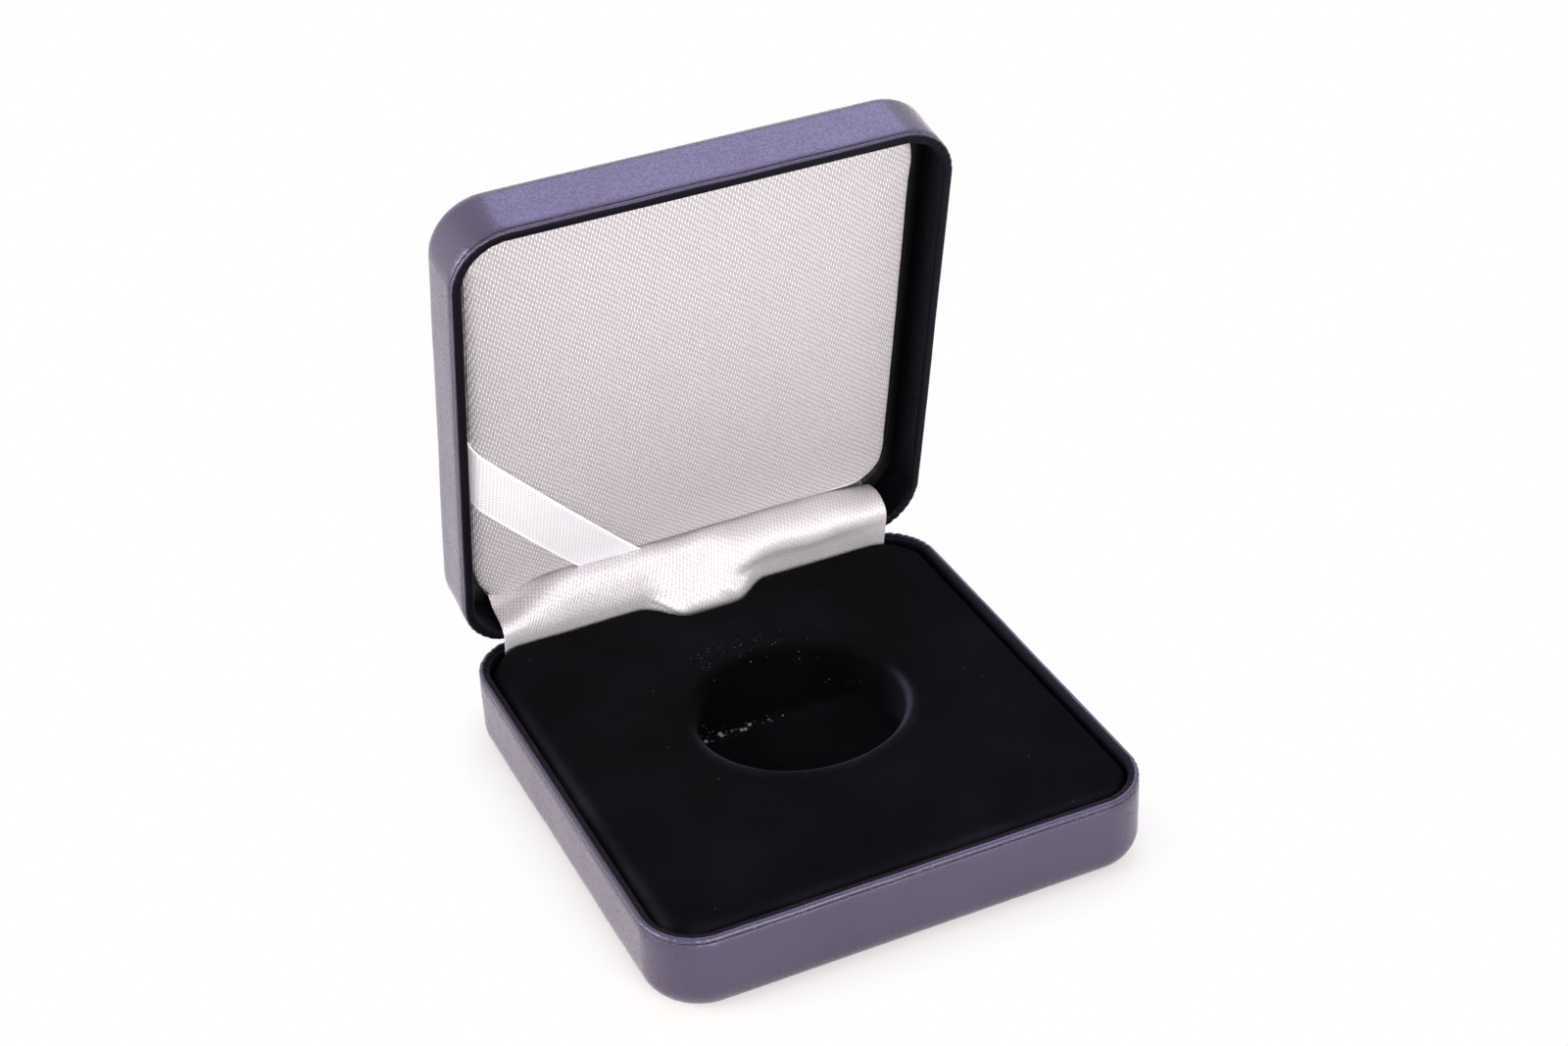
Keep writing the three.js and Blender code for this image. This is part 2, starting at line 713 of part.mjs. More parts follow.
function padBoard() {
  const outline = roundedOutline(padHalf, padRearY, padFrontY, padCornerRadius,
    padTuck + padSatinThickness + glueLine);
  return ringBody([
    atLevel(outline, lidRim + padBack - padBoardThickness),
    atLevel(outline, lidRim + padBack),
  ], false, new THREE.Vector2(0, padMiddleY));
}

// Corner ribbon: a strip that follows the pad's top and bends down its left and rear edges
function bentOver(distance, edge) {
  const past = Math.max(distance - (edge - padRoll), 0);
  const angle = Math.min(past / padRoll, halfTurn);
  const along = Math.min(distance, edge - padRoll) + padRoll * Math.sin(angle);
  const drop = padRoll * (1 - Math.cos(angle)) + Math.max(past - padRoll * halfTurn, 0);
  return { along, drop };
}

function cornerRibbon() {
  const start = new THREE.Vector2(-padHalf, padRearY - ribbonAlongLeft);
  const end = new THREE.Vector2(-padHalf + ribbonAcrossRear, padRearY);
  const direction = end.clone().sub(start).normalize();
  const sideways = new THREE.Vector2(-direction.y, direction.x);
  const rolled = padRoll * (halfTurn - 1) + ribbonTuck;
  const stand = ribbonLift + ribbonThickness / 2;
  const pointAt = (u, v) => {
    const offset = (v - 1 / 2) * ribbonWidth;
    const first = -(rolled + offset * sideways.x) / direction.x;
    const last = (ribbonAlongLeft + rolled - offset * sideways.y) / direction.y;
    const place = start.clone().addScaledVector(sideways, offset)
      .addScaledVector(direction, THREE.MathUtils.lerp(first, last, u));
    const left = bentOver(-place.x, padHalf + stand);
    const rear = bentOver(place.y, padRearY + stand);
    const crown = padCrownAt(left.along, rear.along);
    const z = lidRim + padEdgeDepth - stand + left.drop + rear.drop - crown;
    return new THREE.Vector3(-left.along, rear.along, z);
  };
  return sheetBody(pointAt, 30, 4, ribbonThickness);
}

// Pieces in their colours
function piece(name, geometry, color, roughness, metalness) {
  const material = new THREE.MeshStandardMaterial({ color, roughness, metalness });
  const mesh = new THREE.Mesh(geometry, material);
  mesh.name = name;
  return mesh;
}

const leatherette = [0x8d86a6, 0.42, 0];
const steel = [0xb9bcc2, 0.35, 1];
const springSteel = [0x8f9299, 0.3, 1];
const velvet = [0x08080a, 0.9, 0];
const satin = [0xf1ecee, 0.38, 0];
const ribbonSatin = [0xe6e2ee, 0.35, 0];
const card = [0x8a8378, 0.9, 0];
const foam = [0x2c2c2e, 0.95, 0];
const wadding = [0xf4f4f2, 1, 0];

const baseShellBody = cut(toSolid(steelTray(baseHeight, baseEdgeRadius, baseLevel)), rivetHoles(-1));
const baseCoverBody = cut(
  toSolid(coverTray(baseHeight, baseEdgeRadius, baseTurnInDepth, baseLevel)), [baseWindow()]);
const lidShellBody = cut(
  toSolid(steelTray(lidHeight, lidEdgeRadius, lidLevel)), [...rivetHoles(1), lidNotch()]);
const lidCoverBody = cut(
  toSolid(coverTray(lidHeight, lidEdgeRadius, lidTurnInDepth, lidLevel)), [lidWindow(), lidNotch()]);

const base = new THREE.Group();
base.add(
  piece("base_shell", toGeometry(baseShellBody), ...steel),
  piece("base_cover", toGeometry(baseCoverBody), ...leatherette),
  piece("base_floor_card", floorCard(), ...card),
  piece("hinge_leaf_base", hingeLeaf(-1, 0), ...steel),
  piece("hinge_pin", hingePin(), ...steel),
  piece("snap_spring", springBand(), ...springSteel),
  piece("spine_satin", spineSatin(), ...satin),
  ...rivetPlaces.map((x, k) => piece(`base_rivet_${k + 1}`, rivet(-1, x), ...steel)),
);

const insert = new THREE.Group();
insert.add(
  piece("insert_foam", insertFoam(), ...foam),
  piece("insert_board", insertBoard(), ...card),
  piece("insert_velvet", insertVelvet(), ...velvet),
  piece("recess_floor", recessFloor(), ...velvet),
);

// The lid's pieces are placed from the pin, so that the group turns about it
const lid = new THREE.Group();
lid.add(
  piece("lid_shell", toGeometry(lidShellBody), ...steel),
  piece("lid_cover", toGeometry(lidCoverBody), ...leatherette),
  piece("hinge_leaf_lid", hingeLeaf(1, 1), ...steel),
  ...rivetPlaces.map((x, k) => piece(`lid_rivet_${k + 1}`, rivet(1, x), ...steel)),
  piece("lid_pad_board", padBoard(), ...card),
  piece("lid_pad_wadding", padWadding(), ...wadding),
  piece("lid_pad_satin", padSatin(), ...satin),
  piece("corner_ribbon", cornerRibbon(), ...ribbonSatin),
);
lid.children.forEach((mesh) => mesh.position.set(0, -hingeY, -hingeZ));
lid.position.set(0, hingeY, hingeZ);
lid.rotation.x = -openTurn;

const coinCapsuleBox = new THREE.Group();
coinCapsuleBox.add(base, insert, lid);

export default coinCapsuleBox;
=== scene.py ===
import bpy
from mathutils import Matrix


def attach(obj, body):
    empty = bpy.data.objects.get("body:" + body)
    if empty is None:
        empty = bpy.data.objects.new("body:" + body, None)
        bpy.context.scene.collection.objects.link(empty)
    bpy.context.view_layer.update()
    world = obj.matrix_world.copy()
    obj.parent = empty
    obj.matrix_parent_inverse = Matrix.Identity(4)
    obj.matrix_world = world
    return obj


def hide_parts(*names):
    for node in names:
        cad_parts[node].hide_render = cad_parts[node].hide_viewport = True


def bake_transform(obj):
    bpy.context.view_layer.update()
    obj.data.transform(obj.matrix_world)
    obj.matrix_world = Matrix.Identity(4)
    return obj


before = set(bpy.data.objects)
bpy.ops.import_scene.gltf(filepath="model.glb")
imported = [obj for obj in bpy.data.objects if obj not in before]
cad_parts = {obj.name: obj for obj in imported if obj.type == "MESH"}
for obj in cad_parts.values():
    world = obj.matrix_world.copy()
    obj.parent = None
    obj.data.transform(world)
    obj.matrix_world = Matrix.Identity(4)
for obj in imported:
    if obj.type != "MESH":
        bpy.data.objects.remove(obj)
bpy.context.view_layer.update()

import logging
import math
from dataclasses import dataclass
from enum import Enum
from itertools import product
from typing import Optional, Sequence

import bpy
import numpy as np
from mathutils import Matrix, Vector

log = logging.getLogger("coin_capsule_box")

MM = 0.001
QUARTER = math.pi / 2
BOX_WIDTH = 90.0
BOX_DEPTH = 92.0
BASE_HEIGHT = 16.0
LID_HEIGHT = 13.5
CLOSING_GAP = 0.4
CORNER_RADIUS = 10.2
WALL = 2.0
LID_RIM = BASE_HEIGHT + CLOSING_GAP
LID_TOP = LID_RIM + LID_HEIGHT
INSERT_REAR = 43.25
INSERT_TOP = 15.3
HINGE_Y = BOX_DEPTH / 2 - 0.8
HINGE_Z = LID_RIM + 2.1
OPEN_TURN = math.radians(78.0)

Socket = bpy.types.NodeSocket
Color = tuple[float, float, float, float]


def turned(points: np.ndarray, turn: float = OPEN_TURN) -> np.ndarray:
    """Turns points about the hinge pin, as the lid turns from closed to open.

    Args:
        points: Places in millimetres, one row each.
        turn: Angle in radians; the open pose's by default, and less than 0 to close.

    Returns:
        The turned places.
    """
    moved = np.array(points, float)
    y, z = moved[..., 1] - HINGE_Y, moved[..., 2] - HINGE_Z
    moved[..., 1] = HINGE_Y + y * math.cos(turn) + z * math.sin(turn)
    moved[..., 2] = HINGE_Z - y * math.sin(turn) + z * math.cos(turn)
    return moved


def wobble(places: np.ndarray, wavelength: float, seed: int) -> np.ndarray:
    """Smooth irregular values between about -1 and 1, for hand-made unevenness.

    Args:
        places: Points in millimetres, one row each.
        wavelength: Typical distance between swells, in millimetres.
        seed: Number that picks the pattern.

    Returns:
        One value for each point.
    """
    rng = np.random.default_rng(seed)
    total = np.zeros(places.shape[:-1])
    for _ in range(7):
        direction = rng.normal(size=3)
        direction /= np.linalg.norm(direction)
        pace = 2 * math.pi / (wavelength * rng.uniform(0.6, 1.7))
        total += np.sin(places @ direction * pace + rng.uniform(0, 2 * math.pi))
    return total / 3.2


def smoothstep(low: float, high: float, value: np.ndarray) -> np.ndarray:
    """Soft step from 0 at low to 1 at high.

    Args:
        low: Value where the step starts.
        high: Value where the step ends.
        value: Values to map.

    Returns:
        Shares between 0 and 1.
    """
    share = np.clip((np.asarray(value, float) - low) / (high - low), 0, 1)
    return share * share * (3 - 2 * share)


def bell(offset: np.ndarray, width: float) -> np.ndarray:
    """Soft bump: 1 at no offset, and fading to 0 over about twice the width."""
    return np.exp(-((offset / width) ** 2))


def unit(vectors: np.ndarray) -> np.ndarray:
    """Vectors along the last axis, brought to a length of 1."""
    return vectors / np.maximum(np.linalg.norm(vectors, axis=-1, keepdims=True), 1e-9)


def arc(count: int, start: float = 0.0, end: float = QUARTER) -> list[tuple[float, float]]:
    """Sine and cosine at even steps from one angle to another."""
    return [(math.sin(angle), math.cos(angle)) for angle in np.linspace(start, end, count)]


def travel_of(line: np.ndarray) -> np.ndarray:
    """Distance along a line of points from its first point."""
    steps = np.linalg.norm(np.diff(line, axis=0), axis=1)
    return np.concatenate([[0], np.cumsum(steps)])


def gap_round(offset: np.ndarray, total: float) -> np.ndarray:
    """Shorter way round a closed ring between places that lie an offset apart."""
    gap = np.abs(offset)
    return np.minimum(gap, total - gap)


def outward_of(ring: np.ndarray) -> np.ndarray:
    """Unit vectors in the plan that point out of a closed anticlockwise ring."""
    along = np.roll(ring, -1, axis=0) - np.roll(ring, 1, axis=0)
    return unit(np.column_stack([along[:, 1], -along[:, 0]]))


def raised(ring: np.ndarray, z: object) -> np.ndarray:
    """Gives a ring in the plan one height, or a height for each point."""
    return np.column_stack([ring, np.broadcast_to(z, len(ring))])


def even_curve(points: Sequence[Sequence[float]], count: int) -> np.ndarray:
    """Centripetal curve through points, sampled at even distances.

    Args:
        points: Places that the curve passes, each of two or three numbers.
        count: Number of samples.

    Returns:
        The samples, one row each.
    """
    given = np.array(points, float)
    ends = np.vstack([2 * given[0] - given[1], given, 2 * given[-1] - given[-2]])
    samples = []
    for a, b, c, d in zip(ends, ends[1:], ends[2:], ends[3:]):
        steps = [max(np.linalg.norm(q - p), 1e-6) ** 0.5 for p, q in ((a, b), (b, c), (c, d))]
        k = np.cumsum([0.0] + steps)
        for t in np.linspace(k[1], k[2], 24, endpoint=False):
            ab = a + (b - a) * (t - k[0]) / (k[1] - k[0])
            bc = b + (c - b) * (t - k[1]) / (k[2] - k[1])
            cd = c + (d - c) * (t - k[2]) / (k[3] - k[2])
            abc = ab + (bc - ab) * (t - k[0]) / (k[2] - k[0])
            bcd = bc + (cd - bc) * (t - k[1]) / (k[3] - k[1])
            samples.append(abc + (bcd - abc) * (t - k[1]) / (k[2] - k[1]))
    dense = np.array([*samples, given[-1]])
    reach = travel_of(dense)
    at = np.linspace(0, reach[-1], count)
    return np.stack([np.interp(at, reach, column) for column in dense.T], axis=1)


@dataclass(frozen=True)
class Plan:
    """Rounded rectangle seen from above, in millimetres."""

    half_width: float
    rear: float
    front: float
    radius: float
    corner_steps: int
    side_steps: int

    def ring(self, inset: float) -> np.ndarray:
        """Points of the outline drawn in by an inset.

        Args:
            inset: Distance that the outline is drawn in.

        Returns:
            The points in the plan, one row each, from the rear right corner on.
        """
        r = max(self.radius - inset, 0.05)
        right, left = self.half_width - inset - r, -self.half_width + inset + r
        rear, front = self.rear - inset - r, self.front + inset + r
        arcs = []
        centres = ((right, rear), (left, rear), (left, front), (right, front))
        for corner, centre in enumerate(centres):
            angles = (corner + np.linspace(0, 1, self.corner_steps + 1)) * QUARTER
            arcs.append(centre + r * np.column_stack([np.cos(angles), np.sin(angles)]))
        shares = np.linspace(0, 1, self.side_steps + 1)[1:-1, None]
        pieces = []
        for bend, following in zip(arcs, arcs[1:] + arcs[:1]):
            pieces += [bend, bend[-1] + (following[0] - bend[-1]) * shares]
        return np.vstack(pieces)


def mesh_object(
    name: str,
    points: np.ndarray,
    faces: Sequence[Sequence[int]],
    cloth: Optional[np.ndarray] = None,
    smooth_angle: float = 50.0,
) -> bpy.types.Object:
    """Makes a mesh object from points in millimetres, faces outward, in the scene.

    Args:
        name: Name of the object.
        points: Points in millimetres, one row each.
        faces: Corner numbers of each face.
        cloth: Place of each point on the flat cloth or sheet, in millimetres.
        smooth_angle: Edges sharper than this, in degrees, stay sharp.

    Returns:
        The new object.
    """
    mesh = bpy.data.meshes.new(name)
    mesh.from_pydata((np.asarray(points) * MM).tolist(), [], [list(face) for face in faces])
    mesh.validate()
    if cloth is not None:
        layer = mesh.uv_layers.new(name="cloth")
        corners = np.array([loop.vertex_index for loop in mesh.loops])
        layer.data.foreach_set("uv", (np.asarray(cloth)[corners] * MM).astype(np.float32).ravel())
    made = bpy.data.objects.new(name, mesh)
    bpy.context.collection.objects.link(made)
    if sum(face.center.dot(face.normal) * face.area for face in mesh.polygons) < 0:
        mesh.flip_normals()
    mesh.shade_smooth()
    mesh.set_sharp_from_angle(angle=math.radians(smooth_angle))
    return made


def closed_body(
    name: str, rings: Sequence[np.ndarray], smooth_angle: float, cloth: Optional[np.ndarray] = None
) -> bpy.types.Object:
    """Makes a body through rings of equal count, capped at its first and last ring.

    Args:
        name: Name of the object.
        rings: Rings of points in millimetres.
        smooth_angle: Edges sharper than this, in degrees, stay sharp.
        cloth: Place of each ring point on the flat cloth, in millimetres.

    Returns:
        The new object.
    """
    count = len(rings[0])
    top = (len(rings) - 1) * count
    first, last = top + count, top + count + 1
    points = np.vstack([*rings, rings[0].mean(axis=0), rings[-1].mean(axis=0)])
    steps = [(k, (k + 1) % count) for k in range(count)]
    faces = []
    for start in range(0, top, count):
        other = start + count
        faces += [(start + k, start + after, other + after, other + k) for k, after in steps]
    for k, after in steps:
        faces += [(first, after, k), (last, top + k, top + after)]
    if cloth is not None:
        cloth = np.vstack([cloth, cloth[:count].mean(axis=0), cloth[-count:].mean(axis=0)])
    return mesh_object(name, points, faces, cloth, smooth_angle)


def sheet_mesh(
    name: str, rows: np.ndarray, thickness: float, cloth: np.ndarray, edge_roll: bool = True
) -> bpy.types.Object:
    """Makes a closed sheet of even thickness about a grid of middle points.

    Args:
        name: Name of the object.
        rows: Middle points in millimetres, as rows by columns by three.
        thickness: Thickness of the sheet in millimetres.
        cloth: Place of each grid point on the flat cloth, in millimetres.
        edge_roll: Whether the edges get a middle row, which rounds them.

    Returns:
        The new object.
    """
    along, across = np.gradient(rows, axis=0), np.gradient(rows, axis=1)
    half = unit(np.cross(along, across)) * thickness / 2
    r, c = rows.shape[:2]
    far, rolled = r * c, 2 * r * c
    grid = np.arange(far).reshape(r, c)
    faces = []
    for i, j in product(range(r - 1), range(c - 1)):
        a, b, d, e = grid[i, j], grid[i, j + 1], grid[i + 1, j + 1], grid[i + 1, j]
        faces += [(a, b, d, e), (far + a, far + e, far + d, far + b)]
    border = [*grid[0], *grid[1:, -1], *grid[-1, -2::-1], *grid[-2:0:-1, 0]]
    flat = cloth.reshape(-1, 2)
    points = [(rows + half).reshape(-1, 3), (rows - half).reshape(-1, 3)]
    cloths = [flat, flat]
    if edge_roll:
        i, j = np.divmod(border, c)
        push = unit(along)[i, j] * (1.0 * (i == r - 1) - (i == 0))[:, None]
        push += unit(across)[i, j] * (1.0 * (j == c - 1) - (j == 0))[:, None]
        points.append(rows[i, j] + unit(push) * thickness / 2)
        cloths.append(flat[border])
    for n, (a, b) in enumerate(zip(border, border[1:] + border[:1])):
        if edge_roll:
            here, after = rolled + n, rolled + (n + 1) % len(border)
            faces += [(a, here, after, b), (here, far + a, far + b, after)]
        else:
            faces.append((a, far + a, far + b, b))
    return mesh_object(name, np.vstack(points), faces, np.vstack(cloths), 80.0)


def paint(piece: bpy.types.Object, name: str, values: np.ndarray) -> None:
    """Stores a value for each point of a piece, which its finish can read."""
    layer = piece.data.attributes.new(name, "FLOAT", "POINT")
    layer.data.foreach_set("value", np.asarray(values, np.float32))


def places_of(piece: bpy.types.Object) -> np.ndarray:
    """Points of a piece in millimetres, one row each."""
    places = np.empty(len(piece.data.vertices) * 3, np.float32)
    piece.data.vertices.foreach_get("co", places)
    return places.reshape(-1, 3) / MM


class NodeSketch:
    """Short way to place and wire shader nodes in one tree."""

    def __init__(self, tree: bpy.types.NodeTree) -> None:
        """Keeps the tree that nodes are added to."""
        self.tree = tree

    def fill(self, node: bpy.types.Node, sockets: dict) -> bpy.types.Node:
        """Gives a node's inputs their values and links.

        Args:
            node: Node that is filled.
            sockets: Input names or numbers with a value or an output socket for each.

        Returns:
            The same node.
        """
        for name, value in sockets.items():
            if isinstance(value, Socket):
                self.tree.links.new(value, node.inputs[name])
            else:
                node.inputs[name].default_value = value
        return node

    def add(self, kind: str, sockets: Optional[dict] = None, **settings: object) -> bpy.types.Node:
        """Adds a node.

        Args:
            kind: Type of the node.
            sockets: Input names or numbers with a value or an output socket for each.
            **settings: Properties of the node.

        Returns:
            The new node.
        """
        node = self.tree.nodes.new(kind)
        for name, value in settings.items():
            setattr(node, name, value)
        return self.fill(node, sockets or {})

    def math(self, operation: str, *values: object, clamp: bool = False) -> Socket:
        """Result of a Math node on numbers or sockets, kept between 0 and 1 if clamped."""
        sockets = dict(enumerate(values))
        return self.add("ShaderNodeMath", sockets, operation=operation, use_clamp=clamp).outputs[0]

    def times(self, first: object, second: object) -> Socket:
        """Product of two numbers or sockets."""
        return self.math("MULTIPLY", first, second)

    def plus(self, first: object, second: object, clamp: bool = False) -> Socket:
        """Sum of two numbers or sockets."""
        return self.math("ADD", first, second, clamp=clamp)

    def vector(self, operation: str, *values: object, **named: object) -> bpy.types.Node:
        """Vector Math node on vectors or sockets, and on its named inputs."""
        sockets = {**dict(enumerate(values)), **named}
        return self.add("ShaderNodeVectorMath", sockets, operation=operation)

    def blend(self, share: object, first: object, second: object) -> Socket:
        """Mixes two colours: the first at a share of 0, the second at 1."""
        sockets = {0: share, 6: first, 7: second}
        return self.add("ShaderNodeMix", sockets, data_type="RGBA").outputs[2]

    def span(
        self, value: Socket, low: float, high: float, start: float = 0.0, end: float = 1.0
    ) -> Socket:
        """Maps a value from one range to another and keeps it there.

        Args:
            value: Socket to map.
            low: Value that becomes start.
            high: Value that becomes end.
            start: Result at low.
            end: Result at high.

        Returns:
            The mapped value socket.
        """
        limits = {"From Min": low, "From Max": high, "To Min": start, "To Max": end}
        node = self.add("ShaderNodeMapRange", {"Value": value, **limits}, clamp=True)
        return node.outputs["Result"]

    def noise(
        self, place: Socket, scale: object, detail: float = 2.0, roughness: float = 0.5
    ) -> bpy.types.Node:
        """Adds a Noise Texture.

        Args:
            place: Where the texture is read.
            scale: Swells for each metre.
            detail: Number of finer layers.
            roughness: Strength of the finer layers.

        Returns:
            The texture node.
        """
        sockets = {"Vector": place, "Scale": scale, "Detail": detail, "Roughness": roughness}
        return self.add("ShaderNodeTexNoise", sockets)

    def cells(self, place: Socket, scale: Socket, randomness: float) -> bpy.types.Node:
        """Voronoi Texture of the nearest cell."""
        sockets = {"Vector": place, "Scale": scale, "Randomness": randomness}
        return self.add("ShaderNodeTexVoronoi", sockets, feature="F1")

    def bump(self, height: Socket, strength: float, distance: float) -> Socket:
        """Normal of a Bump node."""
        sockets = {"Strength": strength, "Distance": distance, "Height": height}
        return self.add("ShaderNodeBump", sockets).outputs[0]

    def painted(self, name: str) -> Socket:
        """Values that were painted on the piece."""
        return self.add("ShaderNodeAttribute", attribute_name=name).outputs["Fac"]

    def place(self) -> Socket:
        """Place on the piece, in metres."""
        return self.add("ShaderNodeTexCoord").outputs["Object"]


class SharedEffect(Enum):
    """The shader node groups that several finishes use."""

    GRAIN = "fine grain"
    WEAVE = "staggered weave"
    PILE = "short pile"
    MOTTLE = "soft mottling"
    LINT = "dust and lint"


WEAVE_SIZES = {
    "Float Length": 0.0023,
    "Row Height": 0.00027,
    "Shift": 0.4,
    "Looseness": 0.2,
    "Shine Length": 0.0009,
}
LINT_SIZES = {"Specks per Metre": 900.0, "Amount": 0.12, "Size": 0.11}


class EffectShelf:
    """Builds each shared effect once and places it in materials."""

    def __init__(self) -> None:
        """Starts with no group built."""
        self.groups: dict[SharedEffect, bpy.types.NodeTree] = {}

    def place(
        self, sketch: NodeSketch, effect: SharedEffect, where: Socket, sizes: Optional[dict] = None
    ) -> bpy.types.NodeOutputs:
        """Places a shared effect in a material.

        Args:
            sketch: Tree of the material.
            effect: Which effect.
            where: Place on the piece or on the flat cloth, in metres.
            sizes: Values and sockets for the group's other inputs.

        Returns:
            The group node's outputs.
        """
        if effect not in self.groups:
            self.groups[effect] = self.build(effect)
        sockets = {"Vector": where, **(sizes or {})}
        return sketch.add("ShaderNodeGroup", sockets, node_tree=self.groups[effect]).outputs

    def build(self, effect: SharedEffect) -> bpy.types.NodeTree:
        """Builds the group of an effect with its named inputs and outputs.

        Args:
            effect: Which effect.

        Returns:
            The group.
        """
        maker, inputs = {
            SharedEffect.GRAIN: (self.grain, {"Cells per Metre": 1500.0, "Unevenness": 0.5}),
            SharedEffect.WEAVE: (self.weave, WEAVE_SIZES),
            SharedEffect.PILE: (self.pile, {"Tufts per Metre": 5200.0}),
            SharedEffect.MOTTLE: (self.mottle, {"Clouds per Metre": 60.0}),
            SharedEffect.LINT: (self.lint, LINT_SIZES),
        }[effect]
        group = bpy.data.node_groups.new(effect.value, "ShaderNodeTree")
        sides = group.interface
        sides.new_socket(name="Vector", in_out="INPUT", socket_type="NodeSocketVector")
        for label, default in inputs.items():
            socket = sides.new_socket(name=label, in_out="INPUT", socket_type="NodeSocketFloat")
            socket.default_value = default
        sketch = NodeSketch(group)
        results = maker(sketch, sketch.add("NodeGroupInput").outputs)
        for label in results:
            sides.new_socket(name=label, in_out="OUTPUT", socket_type="NodeSocketFloat")
        sketch.add("NodeGroupOutput", results)
        return group

    def grain(self, sketch: NodeSketch, given: bpy.types.NodeOutputs) -> dict[str, Socket]:
        """Leather grain: small uneven cells with creases between them.

        Args:
            sketch: Tree of the group.
            given: The group's inputs.

        Returns:
            The height and the share of crease.
        """
        warp = sketch.noise(given["Vector"], 700.0)
        push = sketch.vector("SUBTRACT", warp.outputs["Color"], (0.5, 0.5, 0.5)).outputs[0]
        push = sketch.vector("SCALE", push, Scale=0.0006).outputs[0]
        place = sketch.vector("ADD", given["Vector"], push).outputs[0]
        cells = sketch.cells(place, given["Cells per Metre"], 0.95)
        fine = sketch.noise(given["Vector"], 4200.0, 3.0, 0.6)
        crease = sketch.span(cells.outputs["Distance"], 0.35, 0.75)
        rough = sketch.times(fine.outputs["Fac"], given["Unevenness"])
        height = sketch.math("SUBTRACT", rough, sketch.times(crease, 0.6))
        return {"Height": height, "Crease": crease}

    def weave(self, sketch: NodeSketch, given: bpy.types.NodeOutputs) -> dict[str, Socket]:
        """Satin or twill: short floats of thread in rows, each row shifted from the last.

        Args:
            sketch: Tree of the group.
            given: The group's inputs.

        Returns:
            The share of painted highlight on the middle of each float, and the height.
        """
        drift = sketch.noise(given["Vector"], 160.0, 1.0)
        parts = sketch.add("ShaderNodeSeparateXYZ", {0: given["Vector"]}).outputs
        slip = sketch.times(sketch.math("SUBTRACT", drift.outputs["Fac"], 0.5), 2.4)
        slip = sketch.times(slip, given["Looseness"])
        rows = sketch.plus(sketch.math("DIVIDE", parts["Y"], given["Row Height"]), slip)
        along = sketch.math("DIVIDE", parts["X"], given["Float Length"])
        along = sketch.plus(along, sketch.times(sketch.math("FLOOR", rows), given["Shift"]))
        along = sketch.plus(along, slip)
        x, y = (sketch.math("SUBTRACT", sketch.math("FRACT", way), 0.5) for way in (along, rows))
        shine = sketch.times(given["Float Length"], 2.0)
        shine = sketch.math("DIVIDE", shine, given["Shine Length"])
        squares = []
        for length in (sketch.times(x, shine), x, y):
            squares.append(sketch.math("POWER", sketch.math("ABSOLUTE", length), 2.0))
        spread = sketch.plus(squares[0], sketch.times(squares[2], 2.6))
        arch = sketch.plus(sketch.times(squares[1], 3.2), sketch.times(squares[2], 2.8))
        height = sketch.math("SQRT", sketch.math("SUBTRACT", 1.0, arch, clamp=True))
        return {"Float Highlight": sketch.span(spread, 0.2, 1.1, 1.0, 0.0), "Height": height}

    def pile(self, sketch: NodeSketch, given: bpy.types.NodeOutputs) -> dict[str, Socket]:
        """Velvet pile: very fine tufts, with larger strokes where the pile lies over.

        Args:
            sketch: Tree of the group.
            given: The group's inputs.

        Returns:
            The height and the share of stroke.
        """
        tufts = sketch.noise(given["Vector"], given["Tufts per Metre"])
        strokes = sketch.noise(given["Vector"], 55.0, 3.0, 0.55)
        stroke = sketch.span(strokes.outputs["Fac"], 0.38, 0.68)
        return {"Height": tufts.outputs["Fac"], "Stroke": stroke}

    def mottle(self, sketch: NodeSketch, given: bpy.types.NodeOutputs) -> dict[str, Socket]:
        """Soft cloudy variation in two sizes."""
        scales = {"Cloud": given["Clouds per Metre"], "Fine": 900.0}
        return {k: sketch.noise(given["Vector"], s, 4.0).outputs["Fac"] for k, s in scales.items()}

    def lint(self, sketch: NodeSketch, given: bpy.types.NodeOutputs) -> dict[str, Socket]:
        """Sparse bright dust specks.

        Args:
            sketch: Tree of the group.
            given: The group's inputs.

        Returns:
            The share of speck.
        """
        cells = sketch.cells(given["Vector"], given["Specks per Metre"], 1.0).outputs
        away = sketch.math("DIVIDE", cells["Distance"], given["Size"])
        pick = sketch.add("ShaderNodeSeparateColor", {0: cells["Color"]}).outputs[0]
        chosen = sketch.math("LESS_THAN", pick, given["Amount"])
        return {"Speck": sketch.times(sketch.span(away, 0.35, 1.0, 1.0, 0.0), chosen)}


def start_material(name: str) -> tuple[bpy.types.Material, NodeSketch, bpy.types.Node]:
    """Starts a material with a Principled shader.

    Args:
        name: Name of the material.

    Returns:
        The material, its sketch and its Principled node.
    """
    material = bpy.data.materials.new(name)
    material.use_nodes = True
    sketch = NodeSketch(material.node_tree)
    sketch.tree.nodes.clear()
    shader = sketch.add("ShaderNodeBsdfPrincipled")
    sketch.add("ShaderNodeOutputMaterial", {0: shader.outputs[0]})
    return material, sketch, shader


def toned(color: Color, factor: float) -> Color:
    """The same colour, lighter or darker by a factor."""
    return tuple(min(value * factor, 1) for value in color[:3]) + (1,)


@dataclass(frozen=True)
class Finish:
    """A named finish, which makes its material on the shared effects."""

    name: str

    def make(self, shelf: EffectShelf) -> bpy.types.Material:
        """Makes the material.

        Args:
            shelf: Shared effects.

        Returns:
            The material.
        """
        material, sketch, shader = start_material(self.name)
        sketch.fill(shader, self.sockets(sketch, shelf))
        return material

    def sockets(self, sketch: NodeSketch, shelf: EffectShelf) -> dict:
        """Values and sockets for the Principled shader, which each finish gives."""
        raise NotImplementedError


